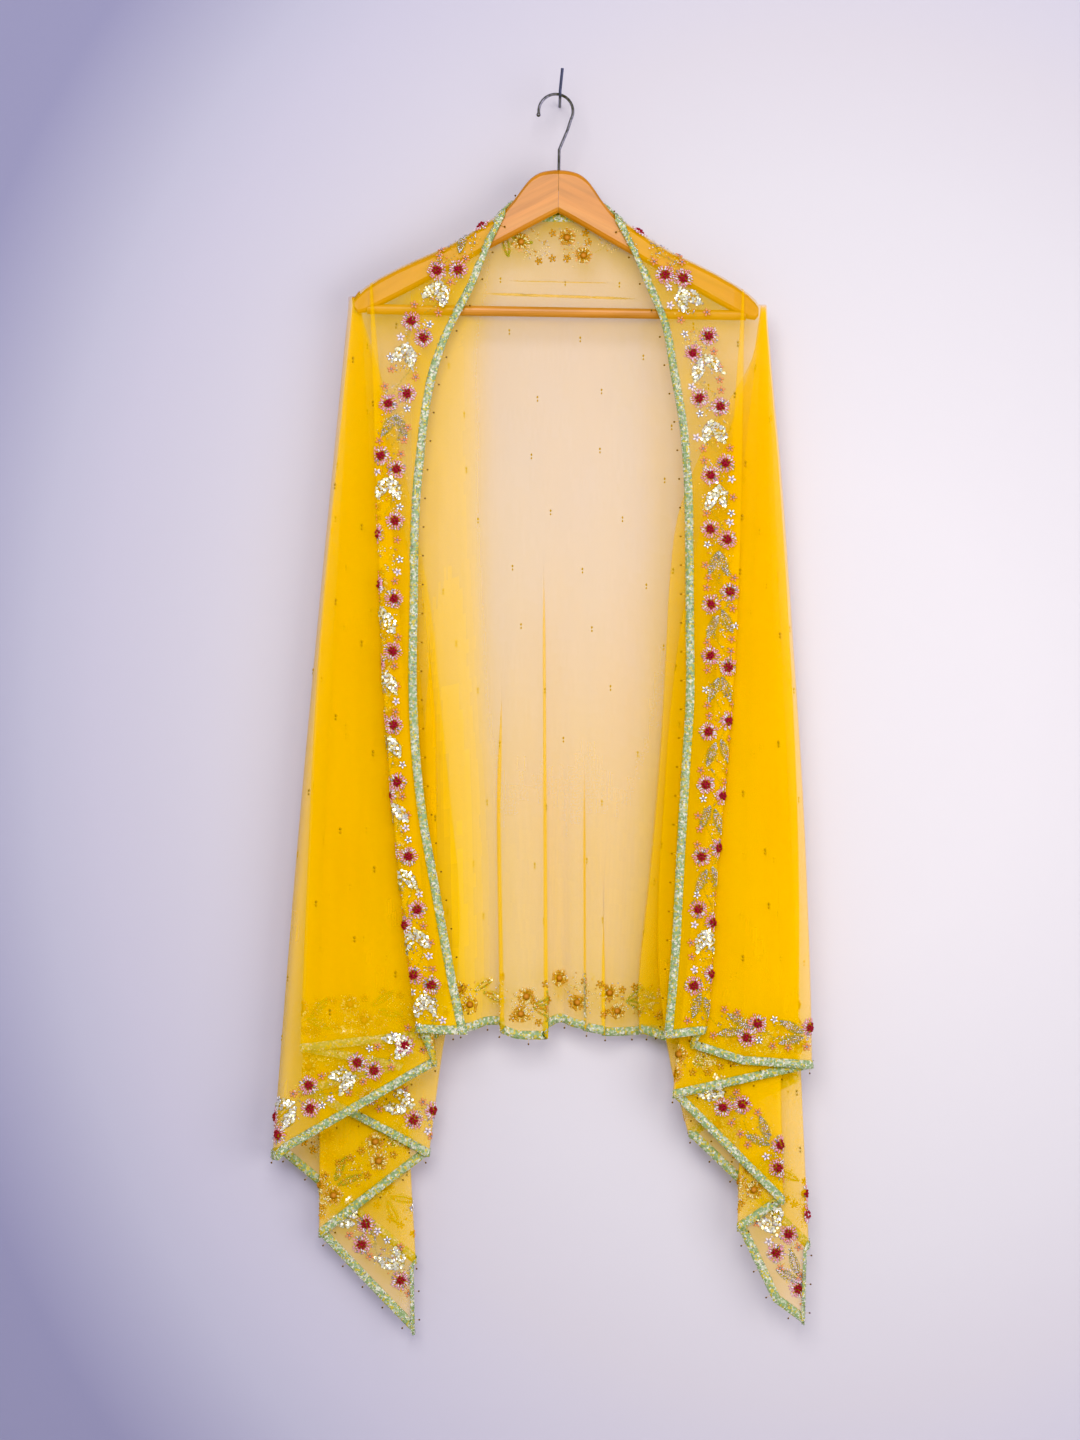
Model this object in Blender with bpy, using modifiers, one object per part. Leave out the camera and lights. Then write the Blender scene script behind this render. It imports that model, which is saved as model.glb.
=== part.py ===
"""A sheer embroidered dupatta stole, draped over a wooden coat hanger on a wall hook.

The stole is one rectangle of net. It lies along the tops of the hanger's arms, with one long
edge round the neck and down both fronts, and falls off each tip of the hanger in a cascade of
folds that reach below the back. Each stretch of it is a loft: a row of hanging lines, worked
out from the short tables below, made into a wall by Solidify.

X is to the right, Y goes into the wall and Z up. The origin is where the wall hook leaves the
wall. The tables are in millimetres, and everything else is in metres.
"""

import math
from collections import namedtuple

import bmesh
import bpy
from mathutils import Vector

MM = 0.001

# Wall hook and hanger
WALL_HOOK_WIRE = 0.0032
WALL_HOOK_REACH = 0.052
WALL_HOOK_RISE = 0.030
WALL_HOOK_BEND = 0.006
WALL_HOOK_BEND_STEPS = 5
WALL_HOOK_LEAN_X = 0.0025
WALL_HOOK_LEAN_Y = 0.002
HANGER_Y = -0.045
HANGER_ROLL = math.radians(0.97)
ARM_HALF_THICKNESS = 0.007
HOOK_WIRE = 0.0032
HOOK_RADIUS = 0.0185
HOOK_CENTRE_X = -0.0043
HOOK_ANGLE_START = 188
HOOK_ANGLE_STEP = 12
HOOK_POINTS = 19
HOOK_STEM_DEPTH = 0.022
STEM_TOP_Z = -0.056
STEM_BENDS = (0.35, 0.7)
STEM_BEND_OUT = 0.0012
BAR_RADIUS = 0.0055
BAR_Z = -0.231
BAR_HALF_LENGTH = 0.204
TIP_START = 195.0
TIP_DROP = 2.0
TIP_TAPER = 0.35
ARM_CORNERS = 12
ARM_FLAT = 0.0005
BARE_ARM_END = 47.0
BARE_ARM_STEPS = 3
ARM_SHARP_ANGLE = math.radians(50)
BAR_SHARP_ANGLE = math.radians(40)
ROUND_SIDES = 16
HOLE_OVERRUN = 0.01
TOUCH = 0.0003

# Cloth
CLOTH_WALL = 0.001
DRAPE_TURN = 0.0084
SHOULDER_LIFT = 0.0007
SHOULDER_END = 0.085
NECK_Z = -0.1225
SHOULDER_OUTER = 0.059
SHOULDER_INNER = 0.030
FALL_LEFT_X = -0.222
FALL_LEFT_DROP = 0.001
FALL_RIGHT_X = 0.214
FALL_RIGHT_DROP = 0.002
TRIM_WIDTH = 0.011
TRIM_WALL = 0.001
TRIM_LIFT = 0.0015
SEAM = 0.0003
TRIM_SEAM = 0.0008
HANGING_ROWS = 9
ROW_SPREAD = 1.25
WAVE_GROWTH = 2.2
ARC_STEPS = 4
TOP_FOLD_REACH = 4.0
HEM_FOLD_REACH = 9.0
RIDGE_PASSES = 4

# Hanger arm, from its middle to its tip
ArmSection = namedtuple("ArmSection", "across top bottom")
ARM = (
    ArmSection(0.15, -78.0, -124.0),
    ArmSection(8.0, -78.3, -128.0),
    ArmSection(20.0, -81.0, -134.5),
    ArmSection(30.0, -87.5, -140.0),
    ArmSection(38.0, -97.0, -144.5),
    ArmSection(47.0, -110.0, -149.5),
    ArmSection(57.0, -122.0, -155.0),
    ArmSection(66.0, -130.5, -160.0),
    ArmSection(87.0, -144.0, -171.5),
    ArmSection(103.0, -155.0, -180.5),
    ArmSection(122.0, -165.5, -191.0),
    ArmSection(149.0, -177.5, -205.5),
    ArmSection(170.0, -187.5, -217.0),
    ArmSection(191.0, -199.0, -228.0),
    ArmSection(206.0, -208.5, -235.0),
    ArmSection(214.0, -215.5, -236.0),
    ArmSection(217.5, -220.5, -232.0),
)

# Edges and fold lines that bend on their way down
Bend = namedtuple("Bend", "z x")
LEFT_EDGE = (
    Bend(-124, -59), Bend(-160, -76.5), Bend(-208, -95.5), Bend(-261, -122), Bend(-321, -139),
    Bend(-395, -148), Bend(-457, -152.5), Bend(-540, -153.5), Bend(-649, -154),
    Bend(-757, -145.5), Bend(-865, -127), Bend(-951, -111), Bend(-1007, -99),
)
RIGHT_EDGE = (
    Bend(-124, 59), Bend(-163, 80), Bend(-204, 97), Bend(-246, 114), Bend(-299, 123),
    Bend(-356, 132.5), Bend(-428, 137), Bend(-583, 137.5), Bend(-649, 137),
    Bend(-714, 132.5), Bend(-811, 126), Bend(-918, 119.5), Bend(-1011, 111),
)
LEFT_PLEAT = (
    Bend(-205, -205), Bend(-294, -201.5), Bend(-455, -196), Bend(-667, -187.5),
    Bend(-847, -171.5), Bend(-1005, -153),
)
RIGHT_PLEAT = (
    Bend(-213, 200), Bend(-400, 195), Bend(-584, 189), Bend(-757, 175), Bend(-856, 166),
    Bend(-972, 160), Bend(-1007, 154),
)
RIGHT_INNER_FOLD = (
    Bend(-234, 216), Bend(-284, 206), Bend(-360, 163), Bend(-445, 129), Bend(-520, 119),
    Bend(-595, 115), Bend(-714, 108), Bend(-830, 98), Bend(-956, 85), Bend(-1010, 86),
)
RIGHT_MIDDLE_FOLD = (
    Bend(-234, 216), Bend(-284, 207), Bend(-390, 172), Bend(-520, 139), Bend(-650, 120),
    Bend(-760, 112), Bend(-865, 106), Bend(-951, 107), Bend(-1040, 119), Bend(-1123, 140),
)
LEFT_MIDDLE_FOLD = (
    Bend(-231, -216), Bend(-330, -186), Bend(-455, -158), Bend(-560, -139), Bend(-649, -130),
    Bend(-757, -119), Bend(-865, -109), Bend(-951, -112), Bend(-1021, -126), Bend(-1143, -142),
)
LEFT_BACK_FOLD = (
    Bend(-231, -216), Bend(-330, -192), Bend(-455, -170), Bend(-560, -157), Bend(-649, -149),
    Bend(-757, -142), Bend(-865, -139), Bend(-951, -147), Bend(-1048, -172.5),
)
LEFT_SIDE = (Bend(-231, -228.5), Bend(-584, -263), Bend(-843, -286.5), Bend(-1143, -310.5))
LEFT_BACK_SIDE = (
    Bend(-231, -224.5), Bend(-330, -234.5), Bend(-455, -247), Bend(-584, -259), Bend(-714, -267),
    Bend(-843, -272.5), Bend(-1028, -280),
)
LEFT_INNER_SIDE = (
    Bend(-231, -224.5), Bend(-455, -238), Bend(-650, -248), Bend(-850, -257), Bend(-1040, -260),
    Bend(-1231, -261),
)
RIGHT_BACK_SIDE = (
    Bend(-237, 222), Bend(-325, 229.5), Bend(-412, 237), Bend(-584, 248), Bend(-757, 256),
    Bend(-900, 258.5), Bend(-1064, 257),
)
RIGHT_SIDE = (
    Bend(-237, 222.5), Bend(-325, 230), Bend(-412, 238), Bend(-584, 250), Bend(-757, 261),
    Bend(-929, 268), Bend(-1045, 270.5),
)

# Folds of the cloth, in order round each side from the front edge to the back panel. A line
# hangs from top_x on the hanger to hem_x and hem_z, and its depths say how far behind the
# hanger's middle plane the cloth lies there. A row with columns ends a facet of the cloth, and
# a row with none is the far side of a rounded fold on the same line as the row before.
Fold = namedtuple("Fold", "stretch columns top_x hem_x hem_z top_depth hem_depth bends")
LEFT_FOLDS = (
    Fold("front_left", 0, -59, -99, -1007, -8.4, -24, LEFT_EDGE),
    Fold("front_left", 1, -70, -110, -1007, -9.8, -25.5, LEFT_EDGE),
    Fold("front_left", 9, -205, -153, -1005, -12.8, -27, LEFT_PLEAT),
    Fold("front_left", 0, -205, -153, -1005, -10.6, -21.5, LEFT_PLEAT),
    Fold("front_left", 2, -198, -132.5, -1042, -10.6, -21.5, None),
    Fold("front_left", 0, -198, -132.5, -1042, -8.4, -16, None),
    Fold("front_left", 6, -224, -292, -1132.5, -8.4, -16, LEFT_SIDE),
    Fold("fall_left_outer", 1, -228.5, -310.5, -1143, -8.4, -16, LEFT_SIDE),
    Fold("fall_left_outer", 0, -228.5, -310.5, -1143, 19.2, 24, LEFT_SIDE),
    Fold("fall_left_outer", 5, -216, -156, -1261, 19.2, 24, None),
    Fold("fall_left_outer", 0, -216, -156, -1261, 17.4, 19, None),
    Fold("fall_left_outer", 1, -217.2, -160, -1337, 17.4, 19, None),
    Fold("fall_left_outer", 2, -221, -215, -1277, 17.4, 19, None),
    Fold("fall_left_inner", 2, -224.5, -261, -1231, 17.4, 19, LEFT_INNER_SIDE),
    Fold("fall_left_inner", 0, -224.5, -261, -1231, 15.6, 14, LEFT_INNER_SIDE),
    Fold("fall_left_inner", 4, -216, -142, -1143, 15.6, 14, LEFT_MIDDLE_FOLD),
    Fold("fall_left_inner", 0, -216, -142, -1143, 13.8, 9, LEFT_MIDDLE_FOLD),
    Fold("fall_left_inner", 4, -224.5, -280, -1075, 13.8, 9, LEFT_BACK_SIDE),
    Fold("fall_left_inner", 0, -224.5, -280, -1075, 12.0, 4, LEFT_BACK_SIDE),
    Fold("fall_left_inner", 3, -216, -172.5, -1048, 12.0, 4, LEFT_BACK_FOLD),
    Fold("fall_left_inner", 0, -216, -172.5, -1048, 10.2, -1, LEFT_BACK_FOLD),
    Fold("fall_left_inner", 3, -224.5, -280, -1028, 10.2, -1, LEFT_BACK_SIDE),
    Fold("fall_left_inner", 0, -224.5, -280, -1028, 8.4, -6, LEFT_BACK_SIDE),
    Fold("fall_left_inner", 1, -222.5, -268, -1027, 8.4, -6, None),
)
RIGHT_FOLDS = (
    Fold("front_right", 0, 59, 111, -1011, -8.4, -22, RIGHT_EDGE),
    Fold("front_right", 1, 70, 122, -1011, -9.8, -23.5, RIGHT_EDGE),
    Fold("front_right", 9, 200, 154, -1007, -12.8, -26.5, RIGHT_PLEAT),
    Fold("front_right", 0, 200, 154, -1007, -10.6, -21, RIGHT_PLEAT),
    Fold("front_right", 2, 193, 140, -1023, -10.6, -21, None),
    Fold("front_right", 0, 193, 140, -1023, -8.4, -16, None),
    Fold("front_right", 3, 213, 195, -1040, -8.4, -16, None),
    Fold("front_right", 2, 219, 255, -1044, -8.4, -16, RIGHT_SIDE),
    Fold("fall_right_outer", 1, 222.5, 270.5, -1045, -8.4, -16, RIGHT_SIDE),
    Fold("fall_right_outer", 0, 222.5, 270.5, -1045, -6.5, -11, RIGHT_SIDE),
    Fold("fall_right_outer", 5, 216, 120.5, -1077, -6.5, -11, None),
    Fold("fall_right_outer", 0, 216, 120.5, -1077, -4.7, -6, None),
    Fold("fall_right_outer", 4, 222, 240.5, -1192, -4.7, -6, None),
    Fold("fall_right_outer", 0, 222, 240.5, -1192, -2.8, -1, None),
    Fold("fall_right_outer", 2, 216, 191, -1222, -2.8, -1, None),
    Fold("fall_right_outer", 0, 216, 191, -1222, -0.9, 4, None),
    Fold("fall_right_outer", 2, 218.3, 230, -1298, -0.9, 4, None),
    Fold("fall_right_inner", 2, 220, 264, -1323, -0.9, 4, None),
    Fold("fall_right_inner", 1, 222, 269, -1242, -0.9, 4, None),
    Fold("fall_right_inner", 0, 222, 269, -1242, 0.9, 9, None),
    Fold("fall_right_inner", 5, 216, 140, -1123, 0.9, 9, RIGHT_MIDDLE_FOLD),
    Fold("fall_right_inner", 0, 216, 140, -1123, 2.8, 14, RIGHT_MIDDLE_FOLD),
    Fold("fall_right_inner", 3, 222, 257, -1064, 2.8, 14, RIGHT_BACK_SIDE),
    Fold("fall_right_inner", 0, 222, 257, -1064, 4.7, 19, RIGHT_BACK_SIDE),
    Fold("fall_right_inner", 4, 216, 86, -1010, 4.7, 19, RIGHT_INNER_FOLD),
    Fold("fall_right_inner", 0, 216, 86, -1010, 6.5, 24, RIGHT_INNER_FOLD),
    Fold("fall_right_inner", 4, 222, 257, -1026, 6.5, 24, RIGHT_BACK_SIDE),
    Fold("fall_right_inner", 0, 222, 257, -1026, 8.4, 29, RIGHT_BACK_SIDE),
    Fold("fall_right_inner", 1, 220, 243, -1025, 8.4, 29, None),
)

# The back panel, from its left fold to its right one. Its waves stand out from the hanging
# depth only lower down.
BackLine = namedtuple("BackLine", "top_x hem_x hem_z hem_depth wave")
BACK = (
    BackLine(-222.5, -268, -1027, -6, 0),
    BackLine(-200, -226, -1022, -6, 0),
    BackLine(-172, -172.5, -1016, -6, 0),
    BackLine(-140, -129.5, -1011, -5, 0),
    BackLine(-115, -100, -1007, -2, 4),
    BackLine(-98, -84, -1000.5, 0, 9),
    BackLine(-80, -63.5, -1001, 2, 3),
    BackLine(-64, -52, -1008, 4, -6),
    BackLine(-54, -42, -1014, 5, -6),
    BackLine(-42, -31, -1015, 6, -4),
    BackLine(-24, -18, -1014, 7, -5),
    BackLine(-8, -7.5, -1003, 8, 4),
    BackLine(0, 1, -998, 9, 9),
    BackLine(13, 13, -1002.5, 11, 3),
    BackLine(28, 30.5, -1007, 15, -5),
    BackLine(43, 43, -1011, 18, -7),
    BackLine(58, 57, -1013, 22, -5),
    BackLine(85, 80, -1013, 29, -1),
    BackLine(115, 114, -1011, 31, 3),
    BackLine(160, 172, -1016, 30, 1),
    BackLine(195, 215, -1022, 29, 0),
    BackLine(220, 243, -1025, 29, 0),
)
BACK_COLUMNS = 52
ARM_ROW_STEPS = (0.0, 3.7, 7.4, 11.0, 12.9)
NECK_TRIM_ROWS = (0, 1, 2, 3)

COLLECTION_NAME = "dupatta_stole_on_hanger"

Column = namedtuple("Column", "top hem bow wave")


def clear_scene():
    for item in list(bpy.data.objects):
        bpy.data.objects.remove(item, do_unlink=True)


def make_material(name, colour, roughness, metallic=0.0):
    material = bpy.data.materials.new(name)
    material.use_nodes = True
    shader = material.node_tree.nodes["Principled BSDF"]
    shader.inputs["Base Color"].default_value = (*colour, 1.0)
    shader.inputs["Roughness"].default_value = roughness
    shader.inputs["Metallic"].default_value = metallic
    return material


def mix(start, end, share):
    return start + (end - start) * share


def ease(value, start, end):
    """0 before start, 1 past end, and a smooth rise between them."""
    share = min(max((value - start) / (end - start), 0.0), 1.0)
    return share * share * (3.0 - 2.0 * share)


def cubic(start, slope_in, end, slope_out, share):
    """The cubic from start to end that leaves and arrives at the given slopes."""
    square = share * share
    cube = square * share
    return (
        start * (2 * cube - 3 * square + 1)
        + slope_in * (cube - 2 * square + share)
        + end * (3 * square - 2 * cube)
        + slope_out * (cube - square)
    )


def spline_value(values, index, share):
    """A smooth value between values[index] and the next, through all of them."""
    before = values[max(index - 1, 0)]
    start = values[index]
    end = values[index + 1]
    after = values[min(index + 2, len(values) - 1)]
    return cubic(start, (end - before) / 2, end, (after - start) / 2, share)


def read_bends(bends, z):
    """The line's x at height z, both in millimetres, on a smooth curve through its bends."""
    if z >= bends[0].z:
        return bends[0].x
    for index in range(len(bends) - 1):
        upper = bends[index]
        lower = bends[index + 1]
        if z >= lower.z:
            before = bends[max(index - 1, 0)]
            after = bends[min(index + 2, len(bends) - 1)]
            span = lower.z - upper.z
            share = (z - upper.z) / span
            slope_in = (lower.x - before.x) / (lower.z - before.z) * span
            slope_out = (after.x - upper.x) / (after.z - upper.z) * span
            return cubic(upper.x, slope_in, lower.x, slope_out, share)
    return bends[-1].x


def read_arm(across, side):
    """The height of the arm's top or bottom in the hanger's own frame, in metres."""
    across = min(max(abs(across) / MM, ARM[0].across), ARM[-1].across)
    for inner, outer in zip(ARM, ARM[1:]):
        if across <= outer.across:
            share = (across - inner.across) / (outer.across - inner.across)
            return mix(getattr(inner, side), getattr(outer, side), share) * MM
    return getattr(ARM[-1], side) * MM


def ridge(x):
    """The height of the hanger's top edge at x, with the hanger's roll, in metres."""
    own_x = x
    for _ in range(RIDGE_PASSES):
        own_x = x - read_arm(own_x, "top") * math.sin(HANGER_ROLL)
    return read_arm(own_x, "top") - own_x * math.sin(HANGER_ROLL)


def drape_centre(x):
    """The middle of the rounded turn that the cloth makes over the arm's top at x."""
    return ridge(x) - ARM_HALF_THICKNESS


def drape_radius(x):
    """The radius of that turn, larger at the steep shoulders, so that it clears the wood."""
    return DRAPE_TURN + SHOULDER_LIFT * ease(abs(x), SHOULDER_END, SHOULDER_OUTER)


def make_columns(folds):
    """The hanging lines of one side, by stretch, with a rounded fold where its depth jumps."""
    ends = []
    for index, fold in enumerate(folds):
        starts_fold = index + 1 < len(folds) and folds[index + 1].columns == 0
        ends_fold = index > 0 and fold.columns == 0
        partner = folds[index + 1] if starts_fold else folds[index - 1] if ends_fold else fold
        before = folds[index - 1] if starts_fold else folds[index - 2] if ends_fold else fold
        towards = 1.0 if before.hem_x > fold.hem_x else -1.0
        top_reach = min(abs(fold.top_depth - partner.top_depth) / 2, TOP_FOLD_REACH)
        hem_reach = min(abs(fold.hem_depth - partner.hem_depth) / 2, HEM_FOLD_REACH)
        ends.append((fold.top_x + towards * top_reach, fold.hem_x + towards * hem_reach,
                     towards * top_reach, towards * hem_reach))
    stretches = {}
    last = None
    for index, fold in enumerate(folds):
        before = folds[max(index - 1, 0)]
        start = ends[max(index - 1, 0)]
        end = ends[index]
        rounded = fold.columns == 0 and index > 0
        steps = ARC_STEPS if rounded else max(fold.columns, 1)
        if fold.stretch not in stretches:
            stretches[fold.stretch] = [last] if last else []
        for step in range(1, steps + 1):
            along = step / steps
            share = (1.0 - math.cos(math.pi * along)) / 2 if rounded else along
            swing = math.sin(math.pi * along) if rounded else 0.0
            last = Column(
                top=(
                    (mix(start[0], end[0], share) - end[2] * swing) * MM,
                    mix(before.top_depth, fold.top_depth, share) * MM,
                ),
                hem=(
                    (mix(start[1], end[1], share) - end[3] * swing) * MM,
                    mix(before.hem_depth, fold.hem_depth, share) * MM,
                    mix(before.hem_z, fold.hem_z, along) * MM,
                ),
                bow=(before.bends, fold.bends, share),
                wave=0.0,
            )
            stretches[fold.stretch].append(last)
    return stretches


def bow_offset(column, z):
    """How far the bent lines on each side of a column push it off its straight line at z."""
    left_bends, right_bends, share = column.bow
    total = 0.0
    for bends, weight in ((left_bends, 1.0 - share), (right_bends, share)):
        if bends and weight > 0.0:
            down = min(max((z / MM - bends[0].z) / (bends[-1].z - bends[0].z), 0.0), 1.0)
            straight = mix(bends[0].x, bends[-1].x, down)
            height = mix(bends[0].z, bends[-1].z, down)
            total += weight * (read_bends(bends, height) - straight) * MM
    return total


def over_arm(x, layer, steps, front):
    """Points from the ridge over the arm's rounded top and a little way down its face."""
    radius = drape_radius(x) + layer
    centre = drape_centre(x)
    quarter = math.pi / 2 * DRAPE_TURN
    sign = -1.0 if front else 1.0
    points = []
    for distance in steps:
        along = distance + SEAM / 2
        angle = min(along / quarter, 1.0) * math.pi / 2
        point = (
            x,
            sign * radius * math.sin(angle),
            centre + radius * math.cos(angle) - max(along - quarter, 0.0),
        )
        points.append(Vector(point))
    return points


def trim_row(length):
    """The share of a hanging line at which the trim along its hem begins."""
    return 1.0 - TRIM_WIDTH / length


def hang(column, top):
    """Points from top down a hanging line, to the trim's upper edge and then the hem."""
    hem = Vector(column.hem)
    trim_start = trim_row((hem - top).length)
    rows = range(1, HANGING_ROWS + 1)
    shares = [(row / HANGING_ROWS) ** ROW_SPREAD * trim_start for row in rows] + [1.0]
    base = bow_offset(column, top.z)
    points = []
    for share in shares:
        point = top.lerp(hem, share)
        point.x += bow_offset(column, point.z) - base * (1.0 - share)
        point.y += column.wave * share ** WAVE_GROWTH
        points.append(point)
    return points


def front_points(columns):
    """A front panel: each column starts on the ridge and turns over the arm's top."""
    steps = [step * MM for step in ARM_ROW_STEPS]
    grid = []
    for column in columns:
        layer = max(-column.top[1] - DRAPE_TURN, 0.0)
        points = over_arm(column.top[0], layer, steps, front=True)
        grid.append(points + hang(column, points[-1]))
    return grid


def fall_points(columns, top_z):
    """A cascade off the hanger's tip: its columns spread from one narrow bunch."""
    grid = []
    for column in columns:
        top = Vector((column.top[0], column.top[1], top_z))
        grid.append([top] + hang(column, top))
    return grid


def back_points():
    """The back panel: over the arms at the sides, and a free edge across the neck."""
    steps = [step * MM for step in ARM_ROW_STEPS]
    quarter = math.pi / 2 * DRAPE_TURN
    grid = []
    for index in range(BACK_COLUMNS + 1):
        place = index / BACK_COLUMNS * (len(BACK) - 1)
        low = min(int(place), len(BACK) - 2)
        values = []
        for key in BackLine._fields:
            value = spline_value([getattr(line, key) for line in BACK], low, place - low)
            values.append(value * MM)
        top_x, hem_x, hem_z, hem_depth, wave = values
        down = ease(abs(top_x), SHOULDER_OUTER, SHOULDER_INNER)
        start = down * (quarter + drape_centre(top_x) - NECK_Z)
        points = over_arm(top_x, 0.0, [start + step for step in steps], front=False)
        column = Column(None, (hem_x, hem_depth, hem_z), (None, None, 0.0), wave)
        grid.append(points + hang(column, points[-1]))
    return grid


def grid_normals(grid):
    """The way the cloth's right side faces, at each point of a grid."""
    last_column = len(grid) - 1
    last_row = len(grid[0]) - 1
    normals = []
    for c in range(last_column + 1):
        line = []
        for r in range(last_row + 1):
            here = grid[c][r]
            down = (grid[c][min(r + 1, last_row)] - grid[c][max(r - 1, 0)]).normalized()
            across = Vector((0.0, 0.0, 0.0))
            for start, end in ((max(c - 1, 0), c), (c, min(c + 1, last_column))):
                if start != end:
                    side = grid[end][r] - grid[start][r]
                    across += (side - down * side.dot(down)).normalized()
            line.append(across.cross(down).normalized())
        normals.append(line)
    return normals


def make_wall(name, grid, thickness, material, collection):
    """A sheet through the grid's points, made into a wall by Solidify."""
    mesh = bpy.data.meshes.new(name)
    rows = len(grid[0])
    shift = Vector((0.0, HANGER_Y, 0.0))
    corners = [tuple(point + shift) for line in grid for point in line]
    faces = [
        (c * rows + r, c * rows + r + 1, (c + 1) * rows + r + 1, (c + 1) * rows + r)
        for c in range(len(grid) - 1)
        for r in range(rows - 1)
    ]
    mesh.from_pydata(corners, [], faces)
    mesh.validate()
    mesh.shade_smooth()
    wall = bpy.data.objects.new(name, mesh)
    wall.data.materials.append(material)
    collection.objects.link(wall)
    solidify = wall.modifiers.new("wall", "SOLIDIFY")
    solidify.thickness = thickness
    solidify.offset = 0.0
    solidify.use_even_offset = True
    return wall


def make_trim(name, grid, columns, rows, material, collection):
    """A beaded edging on part of a grid, from the cloth's own points, moved out."""
    normals = grid_normals(grid)
    lifted = [
        [grid[c][r] + normals[c][r] * TRIM_LIFT for r in rows]
        for c in columns
    ]
    part_seams(lifted, TRIM_SEAM, True, True)
    return make_wall(name, lifted, TRIM_WALL, material, collection)


def part_seams(grid, seam, at_start, at_end):
    """Moves a grid's first or last column in by half a seam."""
    for here, inner, wanted in ((0, 1, at_start), (-1, -2, at_end)):
        if wanted:
            for point, neighbour in zip(grid[here], grid[inner]):
                point += (neighbour - point).normalized() * seam / 2


def make_cloth(collection, cloth, trim):
    """The seven stretches of cloth in their order round the stole, each with its edging."""
    left = make_columns(LEFT_FOLDS)
    right = make_columns(RIGHT_FOLDS)
    left_top = drape_centre(FALL_LEFT_X) - FALL_LEFT_DROP
    right_top = drape_centre(FALL_RIGHT_X) - FALL_RIGHT_DROP
    grids = {
        "front_left": front_points(left["front_left"]),
        "fall_left_outer": fall_points(left["fall_left_outer"], left_top),
        "fall_left_inner": fall_points(left["fall_left_inner"], left_top),
        "back": back_points(),
        "fall_right_inner": fall_points(right["fall_right_inner"][::-1], right_top),
        "fall_right_outer": fall_points(right["fall_right_outer"][::-1], right_top),
        "front_right": front_points(right["front_right"][::-1]),
    }
    for name, grid in grids.items():
        part_seams(grid, SEAM, name != "front_left", name != "front_right")
        make_wall("cloth_" + name, grid, CLOTH_WALL, cloth, collection)
        last_row = len(grid[0]) - 1
        all_rows = list(range(last_row + 1))
        hem_columns = list(range(len(grid)))
        if name == "front_left":
            make_trim("trim_edge_left", grid, hem_columns[:2], all_rows, trim, collection)
            hem_columns = hem_columns[1:]
        if name == "front_right":
            make_trim("trim_edge_right", grid, hem_columns[-2:], all_rows, trim, collection)
            hem_columns = hem_columns[:-1]
        hem_rows = [last_row - 1, last_row]
        make_trim("trim_hem_" + name, grid, hem_columns, hem_rows, trim, collection)
        if name == "back":
            reach = SHOULDER_OUTER + TRIM_WIDTH
            neck_columns = [c for c in hem_columns if abs(grid[c][0].x) < reach]
            make_trim("trim_neck", grid, neck_columns, NECK_TRIM_ROWS, trim, collection)


def arm_sections():
    """The arm's sections, with smooth ones added along its curved bare part."""
    sections = []
    for index, section in enumerate(ARM):
        sections.append(section)
        if section.across < BARE_ARM_END:
            for step in range(1, BARE_ARM_STEPS):
                values = []
                for key in ArmSection._fields:
                    row = [getattr(line, key) for line in ARM]
                    values.append(spline_value(row, index, step / BARE_ARM_STEPS))
                sections.append(ArmSection(*values))
    return sections


def make_arm(name, side, material, collection, cutters):
    """One wooden half of the hanger: stadium sections from the middle to the tip."""
    mesh = bmesh.new()
    rings = []
    for section in arm_sections():
        x = side * section.across * MM
        near_tip = ease(section.across, TIP_START, ARM[-1].across)
        top = (section.top - TIP_DROP * near_tip) * MM
        bottom = section.bottom * MM
        half = ARM_HALF_THICKNESS * (1.0 - TIP_TAPER * near_tip)
        round_part = min(half, (top - bottom) / 2 - ARM_FLAT)
        ring = []
        for corner in range(ARM_CORNERS):
            angle = 2 * math.pi * (corner + 0.5) / ARM_CORNERS
            centre = top - round_part if math.sin(angle) > 0 else bottom + round_part
            y = half * math.cos(angle)
            ring.append(mesh.verts.new((x, y, centre + round_part * math.sin(angle))))
        rings.append(ring)
    for inner, outer in zip(rings, rings[1:]):
        for corner in range(ARM_CORNERS):
            following = (corner + 1) % ARM_CORNERS
            mesh.faces.new((inner[corner], inner[following], outer[following], outer[corner]))
    mesh.faces.new(rings[0])
    mesh.faces.new(rings[-1])
    bmesh.ops.recalc_face_normals(mesh, faces=mesh.faces)
    data = bpy.data.meshes.new(name)
    mesh.to_mesh(data)
    mesh.free()
    data.shade_smooth()
    data.set_sharp_from_angle(angle=ARM_SHARP_ANGLE)
    arm = bpy.data.objects.new(name, data)
    arm.data.materials.append(material)
    collection.objects.link(arm)
    for cutter in cutters:
        cut = arm.modifiers.new("cut " + cutter.name, "BOOLEAN")
        cut.operation = "DIFFERENCE"
        cut.solver = "EXACT"
        cut.object = cutter
    return arm


def make_cylinder(name, radius, length, centre, axis, collection):
    """A cylinder along X or Z."""
    bpy.ops.mesh.primitive_cylinder_add(vertices=ROUND_SIDES, radius=radius, depth=length)
    piece = bpy.context.active_object
    piece.name = name
    piece.rotation_euler = (0.0, math.pi / 2, 0.0) if axis == "X" else (0.0, 0.0, 0.0)
    piece.location = centre
    for holder in list(piece.users_collection):
        holder.objects.unlink(piece)
    collection.objects.link(piece)
    return piece


def make_wire(name, points, thickness, material, collection):
    """A round wire through the points, as a curve with a bevel and closed ends."""
    data = bpy.data.curves.new(name, "CURVE")
    data.dimensions = "3D"
    data.bevel_depth = thickness / 2
    data.bevel_resolution = 2
    data.use_fill_caps = True
    spline = data.splines.new("POLY")
    spline.points.add(len(points) - 1)
    for place, point in zip(spline.points, points):
        place.co = (*point, 1.0)
    data.materials.append(material)
    wire = bpy.data.objects.new(name, data)
    collection.objects.link(wire)
    return wire


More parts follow.
